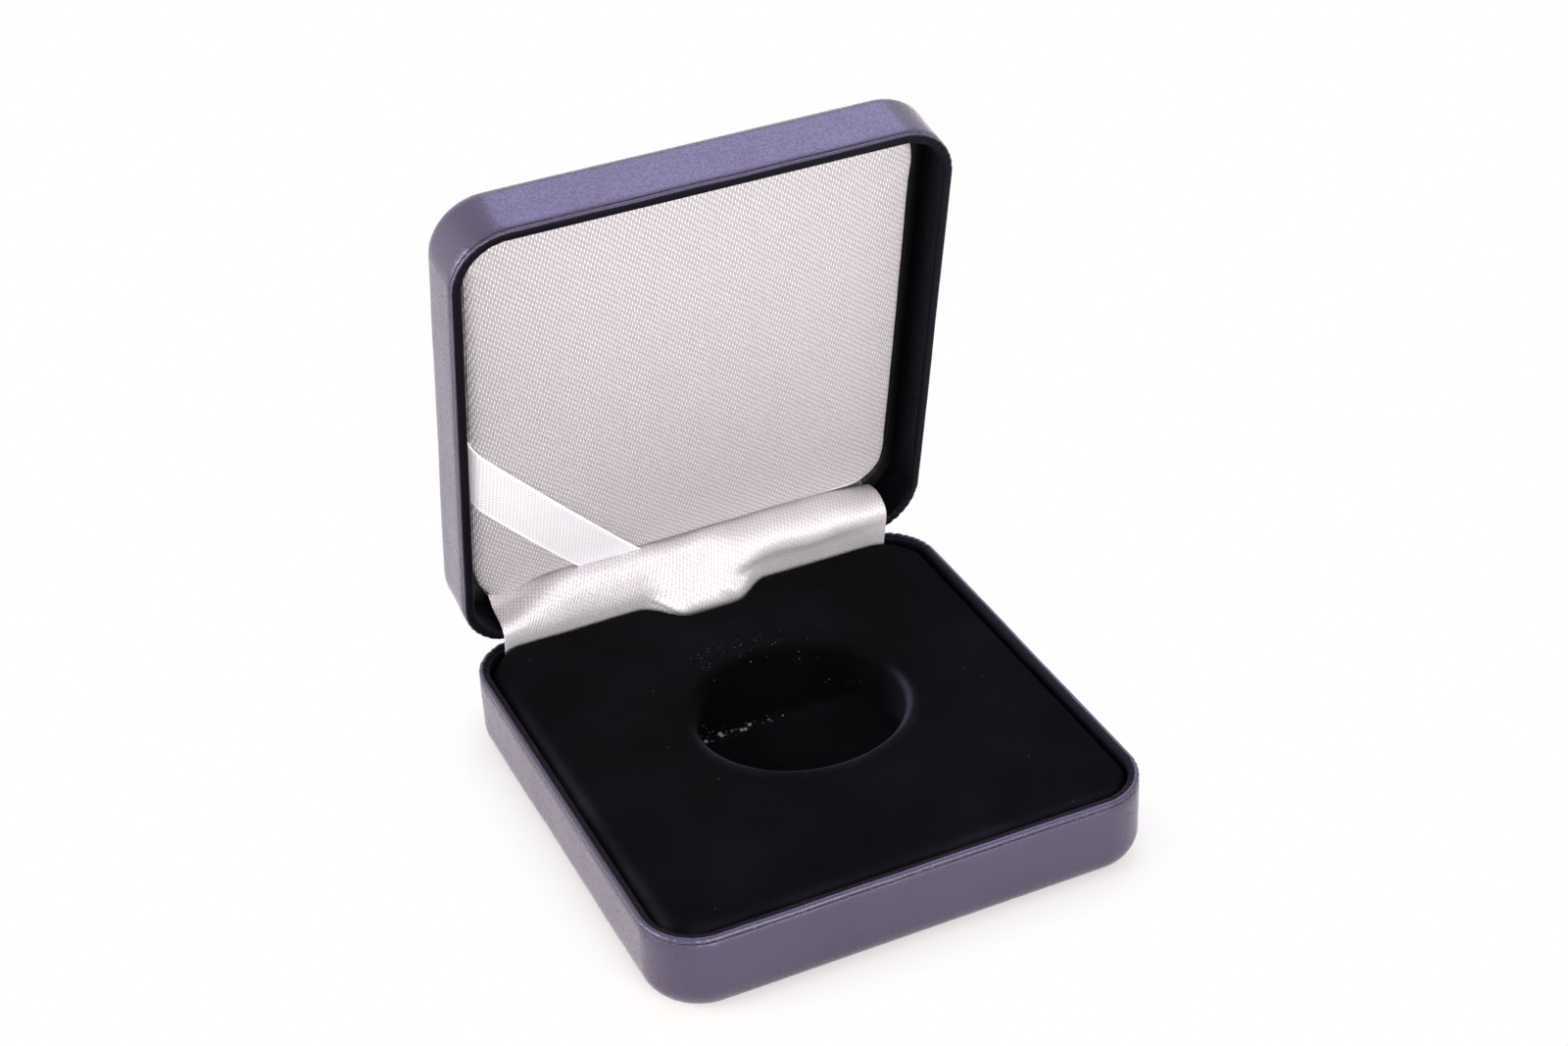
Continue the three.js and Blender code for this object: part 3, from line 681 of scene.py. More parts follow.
@dataclass(frozen=True)
class Leatherette(Finish):
    """Dark fine-grained leatherette with a broad violet gloss."""

    color: Color = (0.024, 0.0165, 0.034, 1)
    crease_color: Color = (0.01, 0.007, 0.014, 1)
    gloss_tint: Color = (0.76, 0.69, 1.0, 1)
    reflectance: float = 0.9
    density: float = 1.5
    roughness: float = 0.34
    coat: float = 0.4
    bloom: float = 0.85

    def sockets(self, sketch: NodeSketch, shelf: EffectShelf) -> dict:
        """Wires the grain, the clouds and the painted shade in the crease below the rim.

        Args:
            sketch: Tree of the material.
            shelf: Shared effects.

        Returns:
            Values and sockets for the Principled shader.
        """
        place = sketch.place()
        grain = shelf.place(sketch, SharedEffect.GRAIN, place, {"Cells per Metre": 1900.0})
        cloud = shelf.place(sketch, SharedEffect.MOTTLE, place, {"Clouds per Metre": 45.0})
        # painted shade in the crease below the rim: it darkens the colour to a tenth, dulls the gloss
        # and takes away the coat
        crease_shade = sketch.painted("crease_shade")
        tone = sketch.blend(sketch.times(grain["Crease"], 0.5), self.color, self.crease_color)
        share = sketch.span(cloud["Cloud"], 0.35, 0.7, 0.0, 0.5)
        tone = sketch.blend(share, tone, toned(self.color, 1.5))
        gloss = sketch.span(grain["Crease"], 0.0, 1.0, self.roughness, self.roughness + 0.18)
        gloss = sketch.plus(gloss, sketch.span(cloud["Cloud"], 0.35, 0.7, -0.04, 0.06))
        return {
            "Base Color": sketch.blend(crease_shade, tone, toned(self.color, 0.1)),
            "Roughness": sketch.plus(gloss, sketch.times(crease_shade, 0.3), clamp=True),
            "Coat Weight": sketch.span(crease_shade, 0.0, 0.6, self.coat, 0.0),
            "Normal": sketch.bump(grain["Height"], 0.4, 0.00012),
            "IOR": self.density,
            "Specular IOR Level": self.reflectance,
            "Specular Tint": self.gloss_tint,
            "Coat Roughness": 0.22,
            "Coat Tint": (0.94, 0.9, 1.0, 1),
            "Sheen Weight": self.bloom,
            "Sheen Roughness": 0.22,
            "Sheen Tint": (1.0, 0.93, 1.0, 1),
        }


@dataclass(frozen=True)
class SatinCloth(Finish):
    """White satin: the middle of each thread float carries a painted highlight, with painted shade
    between them.
    """

    thread_color: Color = (0.985, 0.97, 0.98, 1)
    gap_shade_color: Color = (0.56, 0.505, 0.54, 1)
    float_length: float = 0.0023
    row_height: float = 0.00027
    shift: float = 0.4
    shine_length: float = 0.00095
    looseness: float = 0.15
    upright: bool = True
    roughness: float = 0.3
    lustre: float = 0.3
    depth: float = 0.0003
    sheen: float = 0.1

    def sockets(self, sketch: NodeSketch, shelf: EffectShelf) -> dict:
        """Wires the weave along the flat cloth, with its painted highlights and painted shade.

        Args:
            sketch: Tree of the material.
            shelf: Shared effects.

        Returns:
            Values and sockets for the Principled shader.
        """
        cloth = sketch.add("ShaderNodeUVMap", uv_map="cloth").outputs["UV"]
        if self.upright:
            axes = sketch.add("ShaderNodeSeparateXYZ", {0: cloth}).outputs
            cloth = sketch.add("ShaderNodeCombineXYZ", {0: axes["Y"], 1: axes["X"]}).outputs[0]
        sizes = {
            "Float Length": self.float_length,
            "Row Height": self.row_height,
            "Shift": self.shift,
            "Looseness": self.looseness,
            "Shine Length": self.shine_length,
        }
        weave = shelf.place(sketch, SharedEffect.WEAVE, cloth, sizes)
        cloud = shelf.place(sketch, SharedEffect.MOTTLE, cloth, {"Clouds per Metre": 90.0})
        # painted highlights: thread colour on the middle of each float, the darker gap colour between
        # them as painted shade
        thread = sketch.times(weave["Float Highlight"], sketch.span(cloud["Fine"], 0.2, 0.7, 0.8, 1.0))
        thread = sketch.math("MAXIMUM", thread, sketch.painted("selvedge"))
        dull = self.roughness + 0.3
        return {
            "Base Color": sketch.blend(thread, self.gap_shade_color, self.thread_color),
            "Roughness": sketch.span(weave["Float Highlight"], 0.0, 1.0, dull, self.roughness),
            "Normal": sketch.bump(weave["Height"], 1.0, self.depth),
            "Metallic": self.lustre,
            "Sheen Weight": self.sheen,
            "Sheen Roughness": 0.35,
        }


@dataclass(frozen=True)
class Velvet(Finish):
    """Black short-pile velvet with a little lint, and painted shade and highlights read from the
    piece.
    """

    color: Color = (0.0015, 0.0014, 0.0022, 1)
    stroke_color: Color = (0.0034, 0.0033, 0.0048, 1)
    dust_color: Color = (0.3, 0.29, 0.31, 1)
    sheen: float = 0.008

    def sockets(self, sketch: NodeSketch, shelf: EffectShelf) -> dict:
        """Wires the pile, its painted shade and painted highlights, and the dust and fluff on it.

        Args:
            sketch: Tree of the material.
            shelf: Shared effects.

        Returns:
            Values and sockets for the Principled shader.
        """
        place = sketch.place()
        pile = shelf.place(sketch, SharedEffect.PILE, place)
        dusty = sketch.painted("dusty")
        tone = sketch.blend(pile["Stroke"], self.color, self.stroke_color)
        # scales the colour by the painted pile light: painted shade on the pocket's wall and behind
        # it, painted highlights on the rim and the rolled edges
        tone = sketch.vector("SCALE", tone, Scale=sketch.painted("painted_pile_light")).outputs[0]
        specks = []
        for per_metre, reach, size, strength in (
            (1250.0, (0.0, 0.25, 0.006, 1.0), 0.16, 0.45),
            (900.0, (0.35, 0.9, 0.0, 0.8), 0.42, 0.8),
        ):
            amount = sketch.span(dusty, *reach)
            sizes = {"Specks per Metre": per_metre, "Amount": amount, "Size": size}
            lint = shelf.place(sketch, SharedEffect.LINT, place, sizes)
            specks.append(sketch.times(lint["Speck"], strength))
        return {
            "Base Color": sketch.blend(sketch.math("MAXIMUM", *specks), tone, self.dust_color),
            "Roughness": 0.95,
            "Normal": sketch.bump(pile["Height"], 0.6, 0.00025),
            "Specular IOR Level": 0.04,
            "Sheen Weight": self.sheen,
            "Sheen Roughness": 0.3,
            "Sheen Tint": (0.7, 0.7, 0.78, 1),
        }


@dataclass(frozen=True)
class SheetMetal(Finish):
    """Rolled sheet steel or spring steel with faint drawn lines."""

    color: Color = (0.55, 0.56, 0.58, 1)
    roughness: float = 0.34
    metallic: float = 1.0

    def sockets(self, sketch: NodeSketch, shelf: EffectShelf) -> dict:
        """Wires the drawn lines and the clouds.

        Args:
            sketch: Tree of the material.
            shelf: Shared effects.

        Returns:
            Values and sockets for the Principled shader.
        """
        place = sketch.place()
        stretched = sketch.vector("MULTIPLY", place, (0.12, 1.0, 1.0)).outputs[0]
        lines = sketch.noise(stretched, 3800.0, 3.0).outputs["Fac"]
        cloud = shelf.place(sketch, SharedEffect.MOTTLE, place, {"Clouds per Metre": 120.0})
        share = sketch.span(cloud["Cloud"], 0.35, 0.7, 0.0, 0.5)
        bright, dull = self.roughness - 0.08, self.roughness + 0.14
        return {
            "Base Color": sketch.blend(share, self.color, toned(self.color, 0.6)),
            "Roughness": sketch.span(lines, 0.3, 0.7, bright, dull),
            "Normal": sketch.bump(lines, 0.15, 0.00003),
            "Metallic": self.metallic,
        }


@dataclass(frozen=True)
class FibreStuff(Finish):
    """Card, foam or wadding: a matt body of fibres or cells."""

    color: Color
    shade: Color
    cells: float
    depth: float = 0.0002

    def sockets(self, sketch: NodeSketch, shelf: EffectShelf) -> dict:
        """Wires the cells and the clouds.

        Args:
            sketch: Tree of the material.
            shelf: Shared effects.

        Returns:
            Values and sockets for the Principled shader.
        """
        place = sketch.place()
        sizes = {"Cells per Metre": self.cells, "Unevenness": 1.0}
        grain = shelf.place(sketch, SharedEffect.GRAIN, place, sizes)
        cloud = shelf.place(sketch, SharedEffect.MOTTLE, place, {"Clouds per Metre": 150.0})
        tone = sketch.blend(grain["Crease"], self.color, self.shade)
        share = sketch.span(cloud["Cloud"], 0.35, 0.65, 0.0, 0.4)
        return {
            "Base Color": sketch.blend(share, tone, self.shade),
            "Roughness": 0.9,
            "Normal": sketch.bump(grain["Height"], 0.5, self.depth),
        }


class Tray(Enum):
    """The two trays of the box."""

    BASE = "base"
    LID = "lid"


@dataclass
class TrayCover:
    """Leatherette over a steel tray, rolled over its rim and turned in, with pleated corners; from
    the rim inward it wears a darker, duller copy of the leatherette as painted shade.
    """

    tray: Tray
    outside: bpy.types.Material
    shaded_leatherette: bpy.types.Material
    height: float
    edge_radius: float
    turn_in: float
    gloss_end: int
    pleat_seed: int
    hinge_cuts: tuple
    thickness: float = 0.8
    fold_back: float = 1.5
    fold_lip: float = 0.18
    floor_rings: tuple = (26.0, 12.0, 4.0)
    rim_middle: float = 1.05
    # Start inset, width and drop of the rim's roll on the outside and on the inside.
    outer_roll: tuple = (0.0, 0.72, 0.52)
    inner_roll: tuple = (1.3, 0.7, 0.6)
    pleat_count: int = 9
    pleat_reach: float = 6.4
    pleat_width: float = 0.34
    crease_middle: float = 0.93
    slot_half: float = 31.0
    plan: Plan = Plan(BOX_WIDTH / 2, BOX_DEPTH / 2, -BOX_DEPTH / 2, CORNER_RADIUS, 44, 44)
    # Inset and distance below the rim of each ring of the crease that runs round the outside.
    rim_crease: tuple = (
        (0.08, 1.25), (0.13, 1.1), (0.16, 1.03), (0.44, 0.97), (0.46, 0.86),
        (0.4, 0.79), (0.07, 0.74), (0.01, 0.66), (0.0, 0.52),
    )

    def outer_profile(self) -> list[tuple[float, float]]:
        """Profile of the outside, from the floor up to the middle of the rim.

        Returns:
            Inset and height of each ring.
        """
        r, h = self.edge_radius, self.height
        start, width, drop = self.outer_roll
        rows = [(r + inward, 0.0) for inward in self.floor_rings]
        rows += [(r * (1 - sine), r * (1 - cosine)) for sine, cosine in arc(12)]
        rows += [(0.0, up) for up in np.linspace(r, h - 1.5, 9)[1:]]
        rows += [(inset, h - down) for inset, down in self.rim_crease]
        for sine, cosine in arc(7)[1:]:
            rows.append((start + width * (1 - cosine), h - drop + drop * sine))
        return rows + [(self.rim_middle, h)]

    def inner_profile(self) -> list[tuple[float, float]]:
        """Profile of the turned-in edge, from the rim down and back under it.

        Returns:
            Inset and height of each ring.
        """
        h, end = self.height, self.height - self.turn_in
        start, width, drop = self.inner_roll
        rows = [(start + width * sine, h - drop * (1 - cosine)) for sine, cosine in arc(7)[1:]]
        rows += [(WALL, up) for up in np.linspace(h - drop, end + 0.25, 12)[1:]]
        return rows + [(WALL - self.fold_lip, end), (self.fold_back, end)]

    def under_profile(self) -> list[tuple[float, float]]:
        """Profile of the hidden side, between the turned-in edge, the rim and the inner floor.

        Returns:
            Inset and height of each ring.
        """
        t, r, h = self.thickness, self.edge_radius - self.thickness, self.height
        rows = [(self.fold_back, h - t), (t, h - t), (t, self.edge_radius)]
        bend = arc(7, QUARTER, 0.0)
        return rows + [(t + r * (1 - sine), t + r * (1 - cosine)) for sine, cosine in bend]

    def pleats(self, travel: np.ndarray) -> np.ndarray:
        """Depth share of the small gathers of cloth round each corner.

        Args:
            travel: Distance of each point along the outline.

        Returns:
            One share for each point.
        """
        depth = np.zeros(len(travel))
        rng = np.random.default_rng(self.pleat_seed)
        for corner in range(4):
            middle = travel[corner * (len(travel) // 4) + self.plan.corner_steps // 2]
            even = np.linspace(-self.pleat_reach, self.pleat_reach, self.pleat_count)
            for place in even + rng.uniform(-0.5, 0.5, self.pleat_count):
                gap = gap_round(travel - middle - place, travel[-1])
                depth += rng.uniform(0.5, 1.0) * bell(gap, self.pleat_width)
        return np.clip(depth, 0, 1)

    def shape(self) -> tuple[list[np.ndarray], int]:
        """Shapes the whole cover in its open pose.

        Returns:
            Its rings, and the number of the first turned-in ring.
        """
        ring0 = self.plan.ring(0)
        out = outward_of(ring0)
        gathers = self.pleats(travel_of(ring0))
        rim_swell = 0.07 * wobble(raised(ring0, 0), 17, 12)
        outer, inner = self.outer_profile(), self.inner_profile()
        rings = []
        for number, (inset, up) in enumerate(outer + inner + self.under_profile()):
            place = raised(self.plan.ring(inset), up)
            draw, lift = np.zeros(len(place)), np.zeros(len(place))
            below = self.height - up
            if number < len(outer):
                draw += smoothstep(0, 3, up) * (
                    0.05 + 0.045 * wobble(place, 26, 3) + 0.02 * wobble(place, 7, 8)
                )
                draw = np.maximum(draw, 0) + smoothstep(2.1, 0.9, below) * gathers * 0.13
                lift -= smoothstep(0.5, 0, below) * gathers * 0.16
                lift += rim_swell * smoothstep(2, 1, abs(0.95 - below))
            elif number < len(outer) + len(inner):
                down = smoothstep(0.1, 3, below)
                draw -= down * (0.06 * (1 + wobble(place, 9, 21)) + 0.22 * gathers)
                lift -= smoothstep(1.3, 0.2, below) * gathers * 0.16
            if inset > self.edge_radius + 0.01:
                draw[:] = 0
            place[:, :2] -= out * draw[:, None]
            place[:, 2] += np.minimum(lift, below)
            if self.tray is Tray.LID:
                place[:, 2] = LID_TOP - place[:, 2]
                place = turned(place)
            rings.append(place)
        return rings, len(outer)

    def crease_shade_at(self, places: np.ndarray) -> np.ndarray:
        """Share from 0 to 1 of painted shade, by how deep places lie in the crease below the rim.

        Args:
            places: Points of the built cover in millimetres.

        Returns:
            One share for each point.
        """
        if self.tray is Tray.LID:
            places = LID_TOP - turned(places, -OPEN_TURN)
        return smoothstep(0.34, 0.1, np.abs(places[:, 2] - self.height + self.crease_middle))

    def cut(self, cover: bpy.types.Object, reach: float, low: float, high: float) -> None:
        """Cuts room for the hinge out of the rear wall, as far in as its turned-in cloth.

        Args:
            cover: Cover that is cut.
            reach: Distance of the cut's outer end from the box's back.
            low: Height of the cut's lower end with the lid closed.
            high: Height of its upper end.
        """
        rear = BOX_DEPTH / 2
        sides = ((-self.slot_half, self.slot_half), (rear - 3, rear + reach), (low, high))
        corners = np.array(list(product(*sides)))
        if self.tray is Tray.LID:
            corners = turned(corners)
        faces = [(0, 1, 3, 2), (4, 6, 7, 5), (0, 4, 5, 1), (2, 3, 7, 6), (0, 2, 6, 4), (1, 5, 7, 3)]
        cutter = mesh_object("cutter", corners, faces)
        modifier = cover.modifiers.new("hinge space", "BOOLEAN")
        modifier.operation, modifier.solver, modifier.object = "DIFFERENCE", "EXACT", cutter
        evaluated = cover.evaluated_get(bpy.context.evaluated_depsgraph_get())
        mesh = bpy.data.meshes.new_from_object(evaluated)
        cover.modifiers.clear()
        cover.data = mesh
        bpy.data.objects.remove(cutter, do_unlink=True)

    def build(self) -> None:
        """Builds the cover with its cuts for the hinge."""
        rings, first_inside = self.shape()
        count = len(rings[0])
        cover = closed_body(f"{self.tray.value}_cover_leatherette", rings, 60)
        cover.data.materials.append(self.outside)
        cover.data.materials.append(self.shaded_leatherette)
        # from the rim inward the faces take the darker, duller copy of the leatherette, which is
        # painted shade
        slots = np.zeros(len(cover.data.polygons), np.int32)
        slots[(first_inside + self.gloss_end) * count : (len(rings) - 1) * count] = 1
        cover.data.polygons.foreach_set("material_index", slots)
        for reach, low, high in self.hinge_cuts:
            self.cut(cover, reach, low, high)
        # paints the shade of the crease below the rim onto the cover
        paint(cover, "crease_shade", self.crease_shade_at(places_of(cover)))
        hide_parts(f"{self.tray.value}_cover")
        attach(cover, self.tray.value)
        log.info("%s cover built with %d faces", self.tray.value, len(cover.data.polygons))


@dataclass
class VelvetInsert:
    """Velvet over the insert's foam and board, with the coin pocket and the finger notch."""

    velvet: bpy.types.Material
    half_width: float = 42.6
    rear: float = INSERT_REAR
    front: float = -43.6
    corner: float = 7.8
    top: float = INSERT_TOP
    crown: float = 0.8
    edge_roll: float = 1.5
    skirt_end: float = 4.3
    thickness: float = 0.6
    pocket: tuple = (1.6, 2.4, 18.4)
    pocket_floor: float = 7.6
    pocket_roll: float = 1.6
    flap_reach: float = 9.4
    flap_softness: float = 1.1
    front_share: float = 0.915
    floor_thickness: float = 1.5
    # Middle, depth, half width of the floor and half width of the mouth.
    notch: tuple = (0.8, 5.6, 4.5, 12.5)
    pocket_rings: int = 20
    rear_lift: float = 1.1
    right_share: float = 0.35

    def outline(self, inset: float) -> np.ndarray:
        """Outline of the insert in plan, with the finger notch in its rear edge.

        Args:
            inset: Distance that the outline is drawn in.

        Returns:
            The points, one row each.
        """
        ring = Plan(self.half_width, self.rear, self.front, self.corner, 22, 66).ring(inset)
        middle, depth, floor, mouth = self.notch
        across = np.abs(ring[:, 0] - middle)
        dip = depth * (1 - smoothstep(floor + inset / 2, mouth + inset / 2, across))
        ring[:, 1] -= np.where(ring[:, 1] > self.rear - inset - 0.01, dip, 0)
        return ring

    def pocket_ring(self, grow: float, z: float) -> np.ndarray:
        """Ring of the pocket, whose rear wall leans in as a soft flap towards the floor.

        Args:
            grow: Distance that the ring stands off the pocket's wall.
            z: Height of the ring.

        Returns:
            The points in space, one row each.
        """
        x, y, radius = self.pocket
        wall_top = self.top + self.crown - self.pocket_roll
        down = float(np.clip((wall_top - z) / (wall_top - self.pocket_floor), 0, 1))
        away = unit(self.outline(0) - (x, y))
        limit = radius - self.flap_reach * down + grow
        reach = away[:, 1] * (radius + grow)
        soft = self.flap_softness
        share = np.clip(0.5 + 0.5 * (limit - reach) / soft, 0, 1)
        held = limit * (1 - share) + reach * share - soft * share * (1 - share)
        held *= np.where(held < 0, self.front_share, 1.0)
        return raised(np.column_stack([x + away[:, 0] * (radius + grow), y + held]), z)

    def shape(self) -> list[np.ndarray]:
        """Shapes the velvet, from the middle of the pocket's floor to its underside.

        Returns:
            Its rings.
        """
        pocket_top = self.top + self.crown
        floor, roll, edge_roll = self.pocket_floor, self.pocket_roll, self.edge_roll
        inner = self.pocket_ring(0, floor + 0.05)
        middle = inner.mean(axis=0)
        rings = []
        for share in (0.15, 0.4, 0.65, 0.85, 0.95):
            ring = middle + (inner - middle) * share
            ring[:, 2] = floor + 0.12 * (1 - share)
            rings.append(ring)
        for sine, cosine in arc(4)[1:]:
            rings.append(self.pocket_ring(-0.5 * (1 - sine), floor + 0.5 * (1 - cosine)))
        for z in np.linspace(floor + 0.5, pocket_top - roll, 12)[1:-1]:
            rings.append(self.pocket_ring(0, z))
        for sine, cosine in arc(9):
            rings.append(self.pocket_ring(roll * (1 - cosine), pocket_top - roll * (1 - sine)))
        lip, edge = rings[-1], self.outline(edge_roll)
        for share in np.linspace(0, 1, 22)[1:-1]:
            plan = lip[:, :2] + (edge - lip[:, :2]) * share
            sink = 0.22 * (1 - smoothstep(0, 0.16, share))
            rings.append(raised(plan, pocket_top - self.crown * share * share - sink))
        for sine, cosine in arc(9):
            outline = self.outline(edge_roll * (1 - sine))
            rings.append(raised(outline, self.top - edge_roll * (1 - cosine)))
        for z in np.linspace(self.top - edge_roll, self.skirt_end, 6)[1:]:
            rings.append(raised(self.outline(0), z))
        shown = len(rings) - 5
        under = self.top - 0.65
        rings += [raised(self.outline(self.thickness), z) for z in (self.skirt_end, under)]
        levels = (under, (floor + under) / 2, floor, floor - 0.2)
        rings += [self.pocket_ring(self.thickness, z) for z in levels]
        rings.append(self.pocket_ring(-0.1, floor - self.floor_thickness))
        self.rumple(rings[:shown])
        return rings

    def rumple(self, rings: Sequence[np.ndarray]) -> None:
        """Makes the seen rings uneven and raises the insert's rear edge.

        Args:
            rings: Rings from the pocket's floor out to the edge, which are changed.
        """
        for number, ring in enumerate(rings):
            if number < self.pocket_rings:
                ring[:, 1] -= 0.132 * (1 + wobble(ring, 11, 4)) * smoothstep(8, 15, ring[:, 1])
            ring[:, 2] -= 0.05 * (1 + wobble(ring, 16, 31)) + 0.025 * (1 + wobble(ring, 6, 17))
            if number >= self.pocket_rings:
                left_of_notch = (1 - self.right_share) * smoothstep(12, 6, ring[:, 0])
                lift = self.rear_lift * (self.right_share + left_of_notch)
                lift *= smoothstep(41.0, 37.0, np.abs(ring[:, 0]))
                ring[:, 2] += lift * smoothstep(self.rear - 20, self.rear - 1.5, ring[:, 1])

    def painted_pile_light_at(self, places: np.ndarray) -> np.ndarray:
        """Painted light on the velvet: painted shade on the pocket's wall and behind the pocket,
        painted highlights on the pocket's front rim and on the left and front rolled edges.

        Args:
            places: Points of the velvet in millimetres.

        Returns:
            One factor for each point.
        """
        x, y, radius = self.pocket
        across, along, height = places.T
        ahead = (along - y) / np.where(along < y, self.front_share, 1.0)
        away = np.hypot(across - x, ahead)
        wall = smoothstep(self.pocket_floor + 0.05, self.pocket_floor + 0.5, height)
        wall *= smoothstep(radius + 1.2, radius - 0.6, away)
        behind = smoothstep(8, 12, along - y) * smoothstep(radius + 5, radius, away)
        rim = bell(away - radius - 0.8, 0.6) * smoothstep(0.3, -0.2, ahead / radius)
        left = bell(across + self.half_width - 1.2, 1.0) * smoothstep(38, 22, along)
        edges = np.maximum(left, 0.5 * bell(along - self.front - 1.2, 1.0))
        highlight_streaks = 5.0 * (0.75 + 0.35 * wobble(places, 14, 61))
        # painted shade on the wall and behind the pocket, painted highlights on the front rim and the
        # left and front rolled edges
        factor = 1.0 - 0.6 * wall - 0.35 * behind + 12.0 * rim + edges * highlight_streaks
        return np.clip(factor, 0.15, None)

    def dust_at(self, places: np.ndarray) -> np.ndarray:
        """How much dust and lint lies at each place.

        Args:
            places: Points of the velvet in millimetres.

        Returns:
            One share for each point.
        """
        x, y, radius = self.pocket
        across, along, height = places.T - np.array([[x], [y], [self.pocket_floor]])
        chord = bell(along - (radius - self.flap_reach), 0.7) * smoothstep(2.0, -1.0, across)
        chord *= (height < 1.6) * (height > -0.5)
        behind = bell(np.hypot(across + 3, along) - radius - 3.0, 3.2) * smoothstep(6, 12, along)
        behind *= smoothstep(14, 2, across) * smoothstep(-17, -9, across)
        return np.clip(chord + 0.2 * behind, 0, 1)

    def build(self) -> None:
        """Builds the velvet."""
        cover = closed_body("insert_velvet_cover", self.shape(), 70)
        places = places_of(cover)
        # paints the velvet's painted shade and painted highlights
        paint(cover, "painted_pile_light", self.painted_pile_light_at(places))
        paint(cover, "dusty", self.dust_at(places))
        cover.data.materials.append(self.velvet)
        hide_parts("insert_velvet", "recess_floor")
        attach(cover, "insert")
        log.info("insert velvet built with %d faces", len(cover.data.polygons))


@dataclass
class LidPad:
    """Satin drawn over wadding and a board, held in the lid, with puckers round its edge."""

    satin: bpy.types.Material
    half_width: float = 40.6
    aside: float = -0.4
    rear: float = 38.0
    front: float = -41.4
    corner: float = 7.0
    edge_depth: float = 5.4
    crown: float = 2.2
    roll: float = 1.9
    tuck: float = 1.1
    back: float = 11.35
    skin: float = 0.4
    rear_slope: float = 0.012
    pucker_pace: float = 0.62
    swell_pace: float = 1.9
    # Where the ribbon meets the left and the rear edge, from their corner, and its width.
    ribbon_line: tuple = (29.0, 26.25, 8.8)
    # Place, pull and reach of the two corners where the cloth is drawn out.
    pulls: tuple = (((-36.5, 37.5), (-0.1, 2.9), 6.5), ((38.6, -40.0), (1.0, -0.9), 5.0))

    def plan(self) -> Plan:
        """Outline of the pad."""
        return Plan(self.half_width, self.rear, self.front, self.corner, 26, 60)

    def crown_at(self, x: np.ndarray, y: np.ndarray) -> np.ndarray:
        """Rise of the pad's middle over its edge at places across and along it."""
        middle, half = (self.rear + self.front) / 2, (self.rear - self.front) / 2
        rise = (1 - ((x - self.aside) / self.half_width) ** 2) * (1 - ((y - middle) / half) ** 2)
        return self.crown * np.sqrt(np.clip(rise, 0, None))

    def ribbon_ends(self) -> tuple[np.ndarray, np.ndarray]:
        """Places in the plan where the ribbon's middle line meets the pad's left and rear edge."""
        left, rear, _ = self.ribbon_line
        side = self.aside - self.half_width
        return np.array([side, self.rear - left]), np.array([side + rear, self.rear])

    def under_ribbon(self, ring: np.ndarray) -> np.ndarray:
        """Share from 0 to 1 that tells how close places lie to the ribbon that presses on the pad.

        Args:
            ring: Points with the lid closed.

        Returns:
            One share for each point.
        """
        start, end = self.ribbon_ends()
        direction = unit(end - start)
        away = ring[:, :2] - start
        off = np.abs(away[:, 0] * direction[1] - away[:, 1] * direction[0])
        half = self.ribbon_line[2] / 2
        return smoothstep(half + 3.5, half + 0.3, off)

    def ring(self, inset: float, drop: float, skin: float, crowned: float) -> np.ndarray:
        """One ring of the pad with the lid closed.

        Args:
            inset: Distance that the ring is drawn in.
            drop: Distance behind the flat top.
            skin: Distance inside the satin's outer face.
            crowned: Share of the crown that lifts it.

        Returns:
            The points in space, one row each.
        """
        outline = self.plan().ring(min(inset, self.roll) + skin)
        outline *= 1 - max(inset - self.roll, 0) / self.half_width
        outline += (self.aside, 0)
        slope = self.rear_slope * outline[:, 0]
        outline[:, 1] -= slope * smoothstep(0, self.rear, outline[:, 1])
        fade = float(smoothstep(7, 0, inset))
        shifts = [
            bell(np.linalg.norm(outline - corner, axis=1), reach)[:, None] * np.array(pull) * fade
            for corner, pull, reach in self.pulls
        ]
        outline += sum(shifts)
        rise = self.crown_at(outline[:, 0], outline[:, 1]) * crowned
        place = raised(outline, LID_RIM + self.edge_depth + skin + drop - rise)
        return place if skin else self.dressed(place, inset, drop)

    def dressed(self, place: np.ndarray, inset: float, drop: float) -> np.ndarray:
        """Adds puckers at the edge, gathers in the corners and soft swells.

        Args:
            place: Points of one ring of the outer face.
            inset: Distance that the ring is drawn in.
            drop: Distance behind the flat top.

        Returns:
            The points with their unevenness.
        """
        plan = self.plan()
        ring0 = raised(plan.ring(0), 0)
        travel = travel_of(ring0[:, :2])
        corner = np.zeros(len(travel))
        for number in range(4):
            middle = travel[number * (len(travel) // 4) + plan.corner_steps // 2]
            corner = np.maximum(corner, smoothstep(11, 4, gap_round(travel - middle, travel[-1])))
        puckers = np.sin(travel / self.pucker_pace + 1.4 * wobble(ring0, 22, 6))
        swells = np.sin(travel / self.swell_pace + 2.2 * wobble(ring0, 30, 19))
        depth = smoothstep(6.5, 0.8, inset) * (0.05 + 0.05 * corner) * (1 + puckers) / 2
        depth += smoothstep(11, 2, inset) * (0.06 + 0.04 * corner) * (1 + swells) / 2
        depth += 0.06 * (1 + wobble(place, 30, 40)) + 0.03 * (1 + wobble(place, 12, 41))
        pressed = self.under_ribbon(place)
        depth = depth * (1 - pressed) + 0.12 * pressed
        side = smoothstep(0.2, self.roll, drop)
        place[:, 2] += depth * (1 - side)
        place[:, :2] -= outward_of(ring0[:, :2]) * (depth * side)[:, None]
        return place

